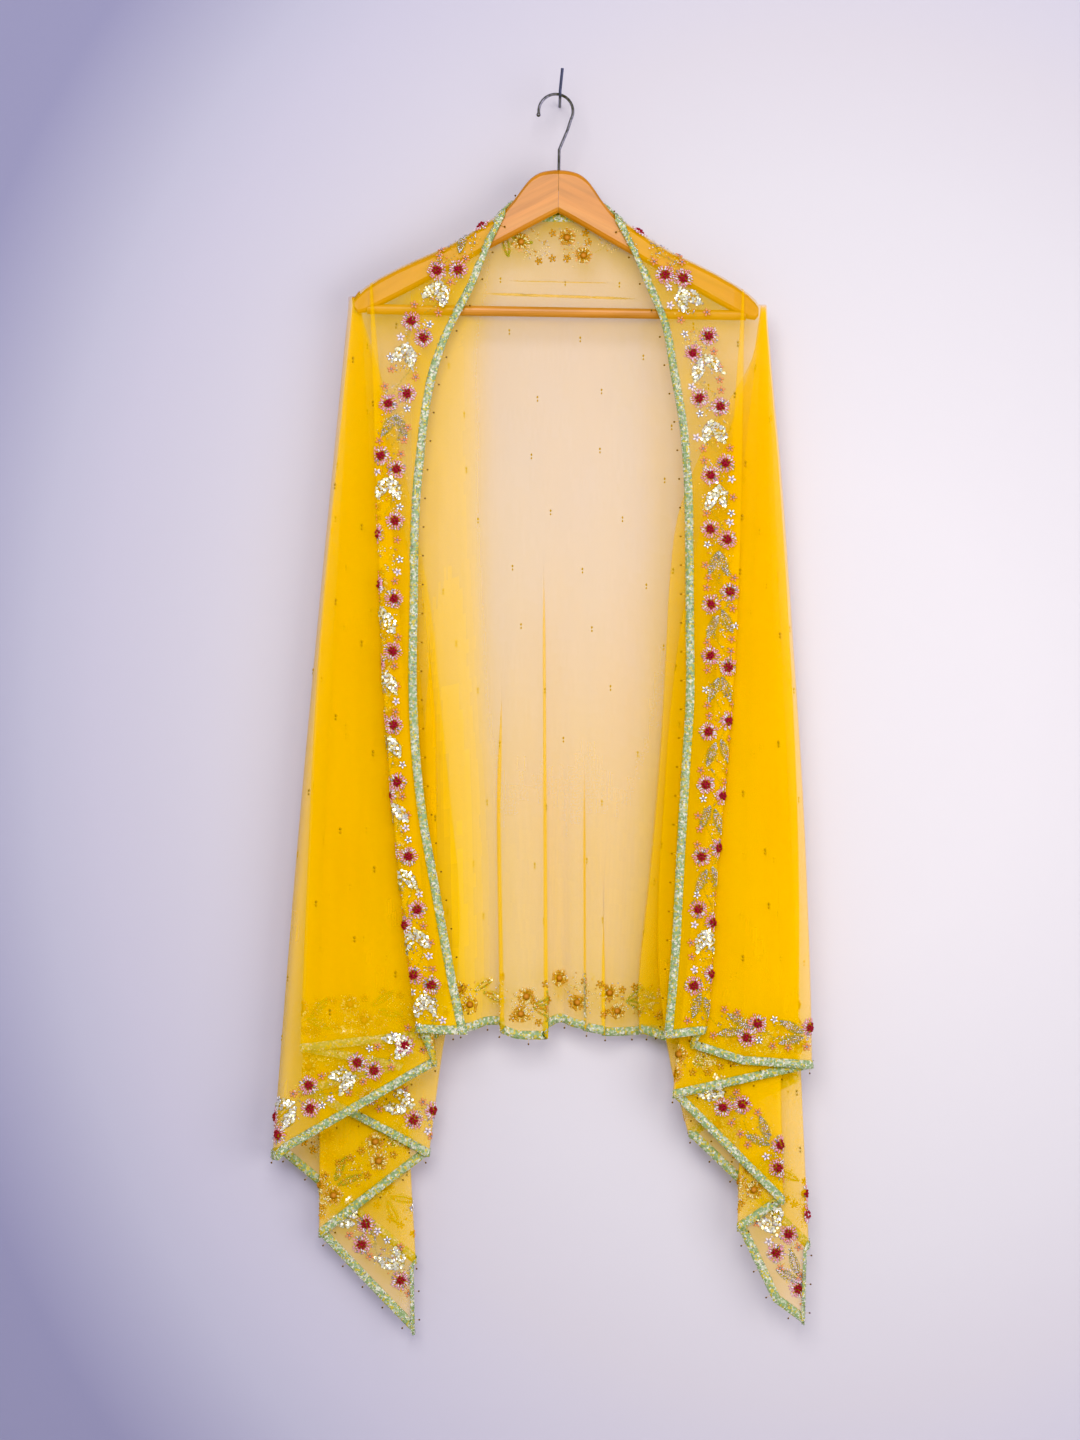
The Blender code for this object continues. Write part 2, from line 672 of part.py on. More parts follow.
def hanger_hook_points():
    """The wire from its free end round the hook, and down its stem into the wood."""
    rest_z = (WALL_HOOK_WIRE + HOOK_WIRE) / 2 + TOUCH
    centre_z = rest_z - math.sqrt(HOOK_RADIUS ** 2 - HOOK_CENTRE_X ** 2)
    centre = Vector((HOOK_CENTRE_X, 0.0, centre_z))
    points = []
    for step in range(HOOK_POINTS):
        angle = math.radians(HOOK_ANGLE_START - HOOK_ANGLE_STEP * step)
        points.append(centre + Vector((math.cos(angle), 0.0, math.sin(angle))) * HOOK_RADIUS)
    bend_end = points[-1]
    stem_top = Vector((0.0, 0.0, STEM_TOP_Z))
    for share in STEM_BENDS:
        outward = Vector((STEM_BEND_OUT * (1 - share), 0.0, 0.0))
        points.append(bend_end.lerp(stem_top, share) + outward)
    points.append(stem_top)
    points.append(Vector((0.0, 0.0, ARM[0].top * MM - HOOK_STEM_DEPTH)))
    return points


def wall_hook_points():
    """A square-bent wall hook: straight out of the wall, and up at its end."""
    bend_start = -WALL_HOOK_REACH + WALL_HOOK_BEND
    points = [Vector((0.0, 0.0, 0.0)), Vector((0.0, bend_start, 0.0))]
    for step in range(1, WALL_HOOK_BEND_STEPS + 1):
        angle = math.pi / 2 * step / WALL_HOOK_BEND_STEPS
        y = bend_start - WALL_HOOK_BEND * math.sin(angle)
        points.append(Vector((0.0, y, WALL_HOOK_BEND * (1.0 - math.cos(angle)))))
    tip_y = -WALL_HOOK_REACH - WALL_HOOK_LEAN_Y
    points.append(Vector((WALL_HOOK_LEAN_X, tip_y, WALL_HOOK_RISE)))
    return points


def make_hanger(collection, cutter_collection, wood, metal):
    """The hanger's pieces, all in one frame that carries its small roll."""
    holder = bpy.data.objects.new("hanger_frame", None)
    holder.location = (0.0, HANGER_Y, 0.0)
    holder.rotation_euler = (0.0, HANGER_ROLL, 0.0)
    collection.objects.link(holder)
    bar_hole = make_cylinder(
        "bar_hole", BAR_RADIUS + TOUCH, 2 * (BAR_HALF_LENGTH + TOUCH), (0.0, 0.0, BAR_Z), "X",
        cutter_collection,
    )
    stem_length = HOOK_STEM_DEPTH + TOUCH + HOLE_OVERRUN
    stem_hole = make_cylinder(
        "stem_hole", HOOK_WIRE / 2 + TOUCH, stem_length,
        (0.0, 0.0, ARM[0].top * MM + HOLE_OVERRUN - stem_length / 2), "Z", cutter_collection,
    )
    cutters = (bar_hole, stem_hole)
    for cutter in cutters:
        cutter.hide_render = True
        cutter.display_type = "WIRE"
    bar = make_cylinder(
        "hanger_bar", BAR_RADIUS, 2 * BAR_HALF_LENGTH, (0.0, 0.0, BAR_Z), "X", collection,
    )
    bar.data.materials.append(wood)
    bar.data.shade_smooth()
    bar.data.set_sharp_from_angle(angle=BAR_SHARP_ANGLE)
    pieces = [
        make_arm("hanger_arm_left", -1, wood, collection, cutters),
        make_arm("hanger_arm_right", 1, wood, collection, cutters),
        make_wire("hanger_hook", hanger_hook_points(), HOOK_WIRE, metal, collection),
        bar,
        *cutters,
    ]
    for piece in pieces:
        piece.parent = holder


def main():
    clear_scene()
    collection = bpy.data.collections.new(COLLECTION_NAME)
    cutter_collection = bpy.data.collections.new("cutters")
    bpy.context.scene.collection.children.link(collection)
    bpy.context.scene.collection.children.link(cutter_collection)
    wood = make_material("hanger_wood", (0.72, 0.36, 0.12), 0.45)
    metal = make_material("dark_wire", (0.06, 0.06, 0.07), 0.35, 0.9)
    cloth = make_material("yellow_net", (0.95, 0.62, 0.08), 0.75)
    trim = make_material("green_edging", (0.35, 0.58, 0.42), 0.6)
    make_hanger(collection, cutter_collection, wood, metal)
    make_wire("wall_hook", wall_hook_points(), WALL_HOOK_WIRE, metal, collection)
    make_cloth(collection, cloth, trim)


main()
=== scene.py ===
"""The looks of a sheer embroidered dupatta stole on a wooden hanger.

The net is one continuous sheet. It repeats the hanging lines of the model's cloth at a finer
step and adds the small creases. Everything sewn on it is laid out flat along the edges and
then carried onto the sheet, so flowers and leaves follow its folds. Lengths in the tables are
in millimetres, and everything else is in metres.
"""

import math
from collections import namedtuple

import bpy
import numpy as np
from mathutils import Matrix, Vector


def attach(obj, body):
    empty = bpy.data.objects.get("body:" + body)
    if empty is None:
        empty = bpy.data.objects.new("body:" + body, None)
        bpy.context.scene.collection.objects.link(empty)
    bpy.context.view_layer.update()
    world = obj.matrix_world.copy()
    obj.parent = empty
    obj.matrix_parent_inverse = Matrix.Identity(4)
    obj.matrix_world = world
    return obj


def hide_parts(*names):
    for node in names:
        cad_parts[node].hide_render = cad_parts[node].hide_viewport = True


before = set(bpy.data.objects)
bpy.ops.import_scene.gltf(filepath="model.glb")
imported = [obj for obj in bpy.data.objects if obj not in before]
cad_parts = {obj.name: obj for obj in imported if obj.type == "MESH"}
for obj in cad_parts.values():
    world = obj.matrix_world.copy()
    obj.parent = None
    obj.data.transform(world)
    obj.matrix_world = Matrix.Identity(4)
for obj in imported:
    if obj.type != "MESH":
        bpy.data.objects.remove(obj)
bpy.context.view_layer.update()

MM = 0.001
RNG = np.random.default_rng(7)

# Hanger and cloth sizes, as in the model
HANGER_Y = -0.045
HANGER_ROLL = math.radians(0.97)
ARM_HALF_THICKNESS = 0.007
DRAPE_TURN = 0.0084
SHOULDER_LIFT = 0.0007
SHOULDER_END = 0.085
SHOULDER_OUTER = 0.059
SHOULDER_INNER = 0.030
NECK_Z = -0.1225
ROW_SPREAD = 1.1

# The sheet's own fineness
TOP_ROWS = 9
HANGING_ROWS = 60
ARC_STEPS = 8
FACET_STEP = 4.5
TOP_FOLD_REACH = 4.0
HEM_FOLD_REACH = 9.0
TIP_GATHER = 0.15
BACK_STEPS = 6
CREASE_LINES = 19
CLOSEST_LINES = 0.0004
LEAST_DEPTH = 0.0004
WAVE_GROWTH = 2.2
ROLL_PASSES = 4
RIPPLES = {"front": 1.3, "back": 1.2, "fall": 0.45}
NET_DENSITIES = (0.255, 0.27, 0.285, 0.30, 0.315, 0.33, 0.345, 0.36, 0.375, 0.39, 0.405, 0.42,
                 0.435, 0.45, 0.47, 0.51, 0.57, 0.63, 0.69)
DENSITY_DITHER = 0.006
WALK_STEP = 0.0012
SLIVER = 0.03
EDGE_REACH = 0.003

# What is sewn on, and where the borders begin and end
SEQUIN_TILT = 0.38
LEAF_STEP = 1.9
EDGING_STEP = 0.003
BEAD_SHARE = 0.62
PICOT_STEP = 0.031
BUTI_STEP = 0.08
BUTI_MARGIN = 0.095
BORDER_START = 0.010
BORDER_STOP = 0.014
HEM_MARGIN = 0.085
STRAIGHT_DOWN = 0.985

# Hanger
HOOK_BALL = (-0.0232, -0.045, -0.0182)
HOOK_BALL_RADIUS = 0.0024
ARM_SLANT = math.radians(27)

Bend = namedtuple("Bend", "z x")


def bend_table(*places):
    """A line's bends: the height and the x of each."""
    return [Bend(*place) for place in places]


LEFT_EDGE = bend_table(
    (-124, -59), (-160, -76.5), (-208, -95.5), (-261, -122), (-321, -139), (-395, -148),
    (-457, -152.5), (-540, -153.5), (-649, -154), (-757, -145.5), (-865, -127), (-951, -111),
    (-1007, -99),
)
RIGHT_EDGE = bend_table(
    (-124, 59), (-163, 80), (-204, 97), (-246, 114), (-299, 123), (-356, 132.5), (-428, 137),
    (-583, 137.5), (-649, 137), (-714, 132.5), (-811, 126), (-918, 119.5), (-1011, 111),
)
LEFT_PLEAT = bend_table(
    (-205, -204.5), (-294, -201.5), (-455, -196), (-667, -187.5), (-847, -171.5), (-1005, -153),
)
RIGHT_PLEAT = bend_table(
    (-213, 198), (-400, 195), (-584, 189), (-757, 175), (-856, 166), (-972, 160), (-1007, 154),
)
RIGHT_INNER_FOLD = bend_table(
    (-234, 216), (-284, 206), (-360, 163), (-445, 129), (-520, 119), (-595, 115), (-714, 108),
    (-830, 98), (-956, 85), (-1010, 86),
)
RIGHT_MIDDLE_FOLD = bend_table(
    (-234, 216), (-284, 207), (-390, 172), (-520, 139), (-650, 120), (-760, 112), (-865, 106),
    (-951, 107), (-1040, 119), (-1123, 140),
)
LEFT_MIDDLE_FOLD = bend_table(
    (-231, -216), (-330, -186), (-455, -158), (-560, -139), (-649, -130), (-757, -119),
    (-865, -109), (-951, -112), (-1021, -126), (-1143, -142),
)
LEFT_BACK_FOLD = bend_table(
    (-231, -216), (-330, -192), (-455, -170), (-560, -157), (-649, -149), (-757, -142),
    (-865, -139), (-951, -147), (-1048, -172.5),
)
LEFT_SIDE = bend_table(
    (-231, -228.5), (-584, -263), (-843, -286.5), (-1143, -310.5),
)
LEFT_BACK_SIDE = bend_table(
    (-231, -224.5), (-330, -234.5), (-455, -247), (-584, -259), (-714, -267), (-843, -272.5),
    (-1028, -280),
)
LEFT_INNER_SIDE = bend_table(
    (-231, -224.5), (-455, -238), (-650, -248), (-850, -257), (-1040, -260), (-1231, -261),
)
RIGHT_BACK_SIDE = bend_table(
    (-237, 222), (-325, 229.5), (-412, 237), (-584, 248), (-757, 256), (-900, 258.5), (-1064, 257),
)
RIGHT_SIDE = bend_table(
    (-237, 222.5), (-325, 230), (-412, 238), (-584, 250), (-757, 261), (-929, 268), (-1045, 270.5),
)

# Lines of the cloth round each side, from the front edge to the back panel. Where a line has turn
# depths, the cloth folds over there, in a round, to those depths.
Line = namedtuple("Line", "top_x hem_x hem_z bends top_depth hem_depth turn_top turn_hem",
                  defaults=(None, None))
LEFT_FRONT = (
    (-59, -99, -1007, LEFT_EDGE, -8.4, -24),
    (-70, -110, -1007, LEFT_EDGE, -9.8, -25.5),
    (-204.5, -153, -1005, LEFT_PLEAT, -12.8, -27, -10.6, -21.5),
    (-201.5, -132.5, -1042, None, -10.6, -21.5, -8.4, -16),
    (-224, -292, -1132.5, LEFT_SIDE, -8.4, -16),
)
LEFT_FALL = (
    (-228.5, -310.5, -1143, LEFT_SIDE, -8.4, -16, 19.2, 24),
    (-216, -156, -1261, None, 19.2, 24, 17.4, 19),
    (-216.4, -157.2, -1337, None, 17.4, 19),
    (-221, -215, -1277, None, 17.4, 19),
    (-224.5, -261, -1231, LEFT_INNER_SIDE, 17.4, 19, 15.6, 14),
    (-216, -142, -1143, LEFT_MIDDLE_FOLD, 15.6, 14, 13.8, 9),
    (-224.5, -280, -1075, LEFT_BACK_SIDE, 13.8, 9, 12.0, 4),
    (-216, -172.5, -1048, LEFT_BACK_FOLD, 12.0, 4, 10.2, -1),
    (-224.5, -280, -1028, LEFT_BACK_SIDE, 10.2, -1, 8.4, -6),
)
RIGHT_FRONT = (
    (59, 111, -1011, RIGHT_EDGE, -8.4, -22),
    (70, 122, -1011, RIGHT_EDGE, -9.8, -23.5),
    (198, 154, -1007, RIGHT_PLEAT, -12.8, -26.5, -10.6, -21),
    (195.5, 140, -1023, None, -10.6, -21, -8.4, -16),
    (213, 195, -1040, None, -8.4, -16),
    (219, 255, -1044, RIGHT_SIDE, -8.4, -16),
)
RIGHT_FALL = (
    (222.5, 270.5, -1045, RIGHT_SIDE, -8.4, -16, -6.5, -11),
    (216, 120.5, -1077, None, -6.5, -11, -4.7, -6),
    (222, 240.5, -1192, None, -4.7, -6, -2.8, -1),
    (216, 191, -1222, None, -2.8, -1, -0.9, 4),
    (218.3, 230, -1298, None, -0.9, 4),
    (220, 264, -1323, None, -0.9, 4),
    (222, 269, -1242, None, -0.9, 4, 0.9, 9),
    (216, 140, -1123, RIGHT_MIDDLE_FOLD, 0.9, 9, 2.8, 14),
    (222, 257, -1064, RIGHT_BACK_SIDE, 2.8, 14, 4.7, 19),
    (216, 86, -1010, RIGHT_INNER_FOLD, 4.7, 19, 6.5, 24),
    (222, 257, -1026, RIGHT_BACK_SIDE, 6.5, 24, 8.4, 29),
)
BackLine = namedtuple("BackLine", "top_x hem_x hem_z hem_depth wave")
BACK = [BackLine(*line) for line in (
    (-222.5, -268, -1027, -6, 0), (-200, -226, -1022, -6, 0), (-172, -172.5, -1016, -6, 0),
    (-140, -129.5, -1011, -5, 0), (-115, -100, -1007, -2, 4), (-98, -84, -1000.5, 0, 9),
    (-80, -63.5, -1001, 2, 3), (-64, -52, -1008, 4, -6), (-54, -42, -1014, 5, -6),
    (-42, -31, -1015, 6, -4), (-24, -18, -1014, 7, -5), (-8, -7.5, -1003, 8, 4),
    (0, 1, -998, 9, 9), (13, 13, -1002.5, 11, 3), (28, 30.5, -1007, 15, -5),
    (43, 43, -1011, 18, -7), (58, 57, -1013, 22, -5), (85, 80, -1013, 29, -1),
    (115, 114, -1011, 31, 3), (160, 172, -1016, 30, 1), (195, 215, -1022, 29, 0),
    (220, 243, -1025, 29, 0),
)]
ARM_TOP = (
    (0.15, -78.0), (8.0, -78.3), (20.0, -81.0), (30.0, -87.5), (38.0, -97.0), (47.0, -110.0),
    (57.0, -122.0), (66.0, -130.5), (87.0, -144.0), (103.0, -155.0), (122.0, -165.5),
    (149.0, -177.5), (170.0, -187.5), (191.0, -199.0), (206.0, -208.5), (214.0, -215.5),
    (217.5, -220.5),
)

# Narrow standing creases of the back panel: x at the hem, the height where each starts, how
# much cloth it takes up and how far it spreads
Crease = namedtuple("Crease", "hem_x start_z take spread")
BACK_CREASES = (
    Crease(-57, -560, 2.6, 3.4), Crease(-15, -420, 2.6, 2.6), Crease(27, -640, 2.2, 2.0),
    Crease(47, -800, 2.4, 2.6), Crease(-70, -620, 1.3, 6.0), Crease(-136, -520, 2.4, 7.0),
)

# Wrinkles that cross the back panel under the neck: the height at the middle, the slope, how
# far they reach to each side, how much cloth they take up and how far they spread
Wrinkle = namedtuple("Wrinkle", "z slope reach take spread")
NECK_WRINKLES = (Wrinkle(-212.5, -0.033, 104, 2.6, 1.7), Wrinkle(-197, -0.02, 74, 1.8, 1.5))
WRINKLE_SHARES = (0.045, 0.125, 46)

Column = namedtuple("Column", "top hem bow wave side")
EVEN_SHARES = [(row / HANGING_ROWS) ** ROW_SPREAD for row in range(1, HANGING_ROWS + 1)]
ROW_SHARES = sorted(
    [share for share in EVEN_SHARES if not WRINKLE_SHARES[0] - 0.002 < share < WRINKLE_SHARES[1]]
    + list(np.linspace(*WRINKLE_SHARES))
)


def mix(start, end, share):
    return start + (end - start) * share


def ease(values, start, end):
    """0 before start, 1 past end, and a smooth rise between them."""
    share = np.clip((values - start) / (end - start), 0.0, 1.0)
    return share * share * (3.0 - 2.0 * share)


def cubic(start, leaving, end, arriving, share):
    """A smooth curve between two values that leaves and arrives at the given slopes."""
    square = share * share
    cube = square * share
    return (start * (2 * cube - 3 * square + 1) + leaving * (cube - 2 * square + share)
            + end * (3 * square - 2 * cube) + arriving * (cube - square))


def read_bends(bends, z):
    """The line's x at height z, both in millimetres, on a smooth curve through its bends."""
    if z >= bends[0].z:
        return bends[0].x
    for index, lower in enumerate(bends[1:]):
        if z >= lower.z:
            upper = bends[index]
            before = bends[max(index - 1, 0)]
            after = bends[min(index + 2, len(bends) - 1)]
            span = lower.z - upper.z
            return cubic(upper.x, (lower.x - before.x) / (lower.z - before.z) * span,
                         lower.x, (after.x - upper.x) / (after.z - upper.z) * span,
                         (z - upper.z) / span)
    return bends[-1].x


def arm_top(across):
    places, heights = zip(*ARM_TOP)
    return float(np.interp(abs(across) / MM, places, heights)) * MM


def drape_centre(x):
    """The height of the middle of the arm's rounded top, on the rolled hanger."""
    own_x = x
    for _ in range(ROLL_PASSES):
        own_x = x - arm_top(own_x) * math.sin(HANGER_ROLL)
    return arm_top(own_x) - own_x * math.sin(HANGER_ROLL) - ARM_HALF_THICKNESS


def drape_radius(x):
    return DRAPE_TURN + SHOULDER_LIFT * ease(abs(x), SHOULDER_END, SHOULDER_OUTER)


def make_columns(front, fall):
    """The hanging lines of one side, with a rounded fold wherever its depth jumps."""
    lines = []
    for side, table in (("front", front), ("fall", fall)):
        for row in table:
            line = Line(*row)
            lines.append((side, False, line))
            if line.turn_hem is not None:
                turned = line._replace(top_depth=line.turn_top, hem_depth=line.turn_hem)
                lines.append((side, True, turned))
    ends = []
    for index, (_, rounded, line) in enumerate(lines):
        turns = index + 1 < len(lines) and lines[index + 1][1]
        partner = lines[index + 1][2] if turns else lines[index - 1][2] if rounded else line
        before = lines[index - 1][2] if turns else lines[index - 2][2] if rounded else line
        towards = 1.0 if before.hem_x > line.hem_x else -1.0
        top_reach = towards * min(abs(line.top_depth - partner.top_depth) / 2, TOP_FOLD_REACH)
        hem_reach = towards * min(abs(line.hem_depth - partner.hem_depth) / 2, HEM_FOLD_REACH)
        ends.append((line.top_x + top_reach, line.hem_x + hem_reach, top_reach, hem_reach))
    columns = []
    for index, (side, rounded, line) in enumerate(lines):
        previous = max(index - 1, 0)
        before, start, end = lines[previous][2], ends[previous], ends[index]
        width = abs(end[1] - start[1])
        steps = ARC_STEPS if rounded else max(int(width / FACET_STEP), 3) if index else 1
        for along in np.arange(1, steps + 1) / steps:
            share = (1.0 - math.cos(math.pi * along)) / 2 if rounded else along
            swing = math.sin(math.pi * along) if rounded else 0.0
            columns.append(Column(
                top=((mix(start[0], end[0], share) - end[2] * swing) * MM,
                     mix(before.top_depth, line.top_depth, share) * MM),
                hem=((mix(start[1], end[1], share) - end[3] * swing) * MM,
                     mix(before.hem_depth, line.hem_depth, share) * MM,
                     mix(before.hem_z, line.hem_z, along) * MM),
                bow=(before.bends, line.bends, share), wave=0.0, side=side,
            ))
    return columns


def make_back_columns():
    """The back panel's lines, with extra ones where its narrow creases stand."""
    ladder = np.array(BACK) * MM
    last = len(BACK) - 1
    columns = []
    for place in np.linspace(0, last, last * BACK_STEPS + 1):
        low = min(int(place), last - 1)
        before, start, end, after = (ladder[min(max(low + step, 0), last)]
                                     for step in (-1, 0, 1, 2))
        columns.append(cubic(start, (end - before) / 2, end, (after - start) / 2, place - low))
    for crease in BACK_CREASES:
        reach = crease.spread * 3 * MM
        for hem_x in crease.hem_x * MM + np.linspace(-reach, reach, CREASE_LINES):
            order = [column[1] for column in columns]
            slot = int(np.searchsorted(order, hem_x))
            if 0 < slot < len(columns):
                before, after = order[slot - 1], order[slot]
                if min(abs(after - hem_x), abs(hem_x - before)) > CLOSEST_LINES:
                    share = (hem_x - before) / (after - before)
                    columns.insert(slot, mix(columns[slot - 1], columns[slot], share))
    return [Column((top_x, 0.0), (hem_x, hem_depth, hem_z), (None, None, 0.0), wave, "back")
            for top_x, hem_x, hem_z, hem_depth, wave in columns]


def bow_offset(column, z):
    """How far a line's bends take it sideways from a straight line at height z."""
    total = 0.0
    first, second, share = column.bow
    for bends, weight in ((first, 1.0 - share), (second, share)):
        if bends and weight > 0.0:
            down = min(max((z / MM - bends[0].z) / (bends[-1].z - bends[0].z), 0.0), 1.0)
            straight = mix(bends[0].x, bends[-1].x, down)
            height = mix(bends[0].z, bends[-1].z, down)
            total += weight * (read_bends(bends, height) - straight) * MM
    return total


def over_arm(x, depth, start, sign):
    """The top of a line: from the ridge over the arm, or gathered at the hanger's tip."""
    quarter = math.pi / 2 * DRAPE_TURN
    spread = np.arange(TOP_ROWS) / (TOP_ROWS - 1)
    along = start + quarter * spread
    angle = np.minimum(along / quarter, 1.0) * math.pi / 2
    base = min(depth, drape_radius(x))
    radius = base + (depth - base) * mix(TIP_GATHER, 1.0, spread ** 2)
    height = drape_centre(x) + radius * np.cos(angle) - np.maximum(along - quarter, 0.0)
    return np.stack([np.full(TOP_ROWS, x), sign * radius * np.sin(angle), height], axis=1)


def make_grid(columns):
    """Every point of the sheet: one list of rows for each hanging line."""
    grid = np.zeros((len(columns), TOP_ROWS + len(ROW_SHARES), 3))
    for index, column in enumerate(columns):
        top_x, top_depth = column.top
        start = 0.0
        depth = abs(top_depth)
        if column.side == "back":
            down = ease(abs(top_x), SHOULDER_OUTER, SHOULDER_INNER)
            start = down * (math.pi / 2 * DRAPE_TURN + drape_centre(top_x) - NECK_Z)
            depth = drape_radius(top_x)
        elif column.side == "front":
            depth = drape_radius(top_x) + max(depth - DRAPE_TURN, 0.0)
        sign = -1.0 if top_depth < 0 else 1.0
        grid[index, :TOP_ROWS] = over_arm(top_x, max(depth, LEAST_DEPTH), start, sign)
        last = grid[index, TOP_ROWS - 1].copy()
        base = bow_offset(column, last[2])
        for row, share in enumerate(ROW_SHARES, TOP_ROWS):
            point = mix(last, np.array(column.hem), share)
            point[0] += bow_offset(column, point[2]) - base * (1.0 - share)
            point[1] += column.wave * share ** WAVE_GROWTH
            grid[index, row] = point
    return grid


def pleat(away, take, spread, stand):
    """How far a pleat pulls the cloth along and lifts it, at a distance in its own spreads."""
    pull = take * spread * np.tanh(away) * np.exp(-(away / 4.0) ** 2)
    return pull * MM, stand * away * np.exp(-(away / 1.6) ** 2) * MM


def add_creases(grid, hem_x, is_back):
    """Narrow pleats that stand up in the back panel, deeper towards the hem."""
    for crease in BACK_CREASES:
        away = (hem_x - crease.hem_x) / crease.spread
        chosen = is_back & (np.abs(away) <= 6.0)
        pull, stand = pleat(away[chosen, None], crease.take, crease.spread, 1.5)
        z = grid[chosen, TOP_ROWS:, 2] / MM
        strength = ease(z, crease.start_z, crease.start_z - 170.0)
        grid[chosen, TOP_ROWS:, 0] -= pull * strength
        grid[chosen, TOP_ROWS:, 1] += stand * strength


def add_wrinkles(grid, is_back):
    """Narrow pleats that lie across the back panel below the neck."""
    for wrinkle in NECK_WRINKLES:
        x, _, z = np.moveaxis(grid[is_back] / MM, 2, 0)
        away = (z - wrinkle.z - wrinkle.slope * x) / wrinkle.spread
        strength = ease(np.abs(x), wrinkle.reach, wrinkle.reach * 0.55) * (np.abs(away) < 8.0)
        pull, stand = pleat(away, wrinkle.take, wrinkle.spread, 1.2)
        grid[is_back, :, 2] -= pull * strength
        grid[is_back, :, 1] += stand * strength


def add_softness(grid, hem_x, sides):
    """Long soft ripples, as uneven as hanging net, kept smaller than the folds' spacing."""
    down = np.concatenate([np.zeros(TOP_ROWS), ROW_SHARES])
    x = hem_x[:, None]
    size = np.array([RIPPLES[side] for side in sides])[:, None]
    wide = np.sin(x * 0.071 + 0.9) * np.sin(down * 3.1 + x * 0.013)
    fine = np.sin(x * 0.23 + 2.0 * np.sin(down * 2.4)) * 0.45
    grid[:, :, 1] += (wide + fine) * size * MM * np.sin(down * math.pi * 0.62)


def net_density(x, z, back):
    """How much the net hides: more lower down, and on the back panel beside the front edges."""
    low = ease(-z, 380.0, 900.0)
    front = 0.265 + 0.12 * low
    fold_x = np.array([read_bends(LEFT_MIDDLE_FOLD, min(h, -455.0)) for h in z.ravel()])
    fold_x = fold_x.reshape(z.shape)
    beside = ease(-x, 64.0, 110.0) * ease(x, fold_x - 14.0, fold_x + 4.0)
    beside_right = ease(x, 78.0, 112.0) * ease(-x, -160.0, -132.0)
    inside = ease(-np.abs(x), -160.0, -125.0)
    panel = mix(front, 0.265 + 0.18 * low + 0.09 * ease(z, -262.0, -185.0), inside)
    panel = panel + 0.24 * beside + 0.06 * beside_right
    uneven = np.sin(x * 0.083 + 1.3 * np.sin(z * 0.021)) * np.sin(z * 0.034 + x * 0.02)
    return np.where(back, panel, front) + 0.01 * uneven


def dot(first, second):
    return (first * second).sum(axis=-1, keepdims=True)


def unit(vectors):
    return vectors / (np.linalg.norm(vectors, axis=-1, keepdims=True) + 1e-12)


class Sheet:
    """The net's points, with ways to go along it as if it were flat.

    A place on it is a column and a row, both with fractions.
    """

    def __init__(self, grid):
        self.grid = grid
        self.last_column = grid.shape[0] - 1
        self.last_row = grid.shape[1] - 1
        down = np.zeros_like(grid)
        down[:, 1:-1] = grid[:, 2:] - grid[:, :-2]
        down[:, 0] = grid[:, 1] - grid[:, 0]
        down[:, -1] = grid[:, -1] - grid[:, -2]
        down = unit(down)
        steps = grid[1:] - grid[:-1]
        across = np.zeros_like(grid)
        across[:-1] += unit(steps - down[:-1] * dot(steps, down[:-1]))
        across[1:] += unit(steps - down[1:] * dot(steps, down[1:]))
        self.normals = unit(np.cross(across, down))

    def cell(self, c, r):
        """The corners' shares at each place, for blending the values of the grid's points."""
        i = np.clip(c.astype(int), 0, self.last_column - 1)
        j = np.clip(r.astype(int), 0, self.last_row - 1)
        return i, j, (c - i)[:, None], (r - j)[:, None]

    def blend(self, source, c, r):
        i, j, u, v = self.cell(c, r)
        upper = source[i, j] * (1 - u) + source[i + 1, j] * u
        lower = source[i, j + 1] * (1 - u) + source[i + 1, j + 1] * u
        return upper * (1 - v) + lower * v

    def point(self, c, r):
        return self.blend(self.grid, c, r)

    def normal(self, c, r):
        return unit(self.blend(self.normals, c, r))

    def slopes(self, c, r):
        """The steps from each place to the next column and to the next row."""
        i, j, u, v = self.cell(c, r)
        p00, p10 = self.grid[i, j], self.grid[i + 1, j]
        p01, p11 = self.grid[i, j + 1], self.grid[i + 1, j + 1]
        return (p10 - p00) * (1 - v) + (p11 - p01) * v, (p01 - p00) * (1 - u) + (p11 - p10) * u

    def walk(self, c, r, heading, mark, distance):
        """Goes straight along the cloth, round its folds, and carries mark along as well."""
        c, r = c.astype(float).copy(), r.astype(float).copy()
        alive = np.ones(len(c), dtype=bool)
        steps = max(int(math.ceil(distance.max() / WALK_STEP)), 1)
        for _ in range(steps):
            across, down = self.slopes(c, r)
            normal = unit(np.cross(across, down))
            heading = unit(heading - normal * dot(heading, normal))
            mark = unit(mark - normal * dot(mark, normal))
            aa, bb, ab = dot(across, across), dot(down, down), dot(across, down)
            ha, hb = dot(heading, across), dot(heading, down)
            spread = aa * bb - ab * ab
            alive &= (spread > SLIVER * aa * bb)[:, 0]
            spread = np.where(spread > 0, spread, 1.0)
            go = (distance / steps * alive)[:, None]
            c_step = ((ha * bb - hb * ab) / spread * go)[:, 0]
            r_step = ((hb * aa - ha * ab) / spread * go)[:, 0]
            c_next = np.clip(c + c_step, 0, self.last_column)
            r_next = np.clip(r + r_step, 0, self.last_row)
            moved = np.linalg.norm(self.point(c_next, r_next) - self.point(c, r), axis=1)
            share = np.minimum(distance / steps / np.maximum(moved, 1e-9), 1.0)
            c, r = c + c_step * share, r + r_step * share
            alive &= (c >= 0) & (c <= self.last_column) & (r >= 0) & (r <= self.last_row)
            c, r = np.clip(c, 0, self.last_column), np.clip(r, 0, self.last_row)
        return c, r, mark, alive


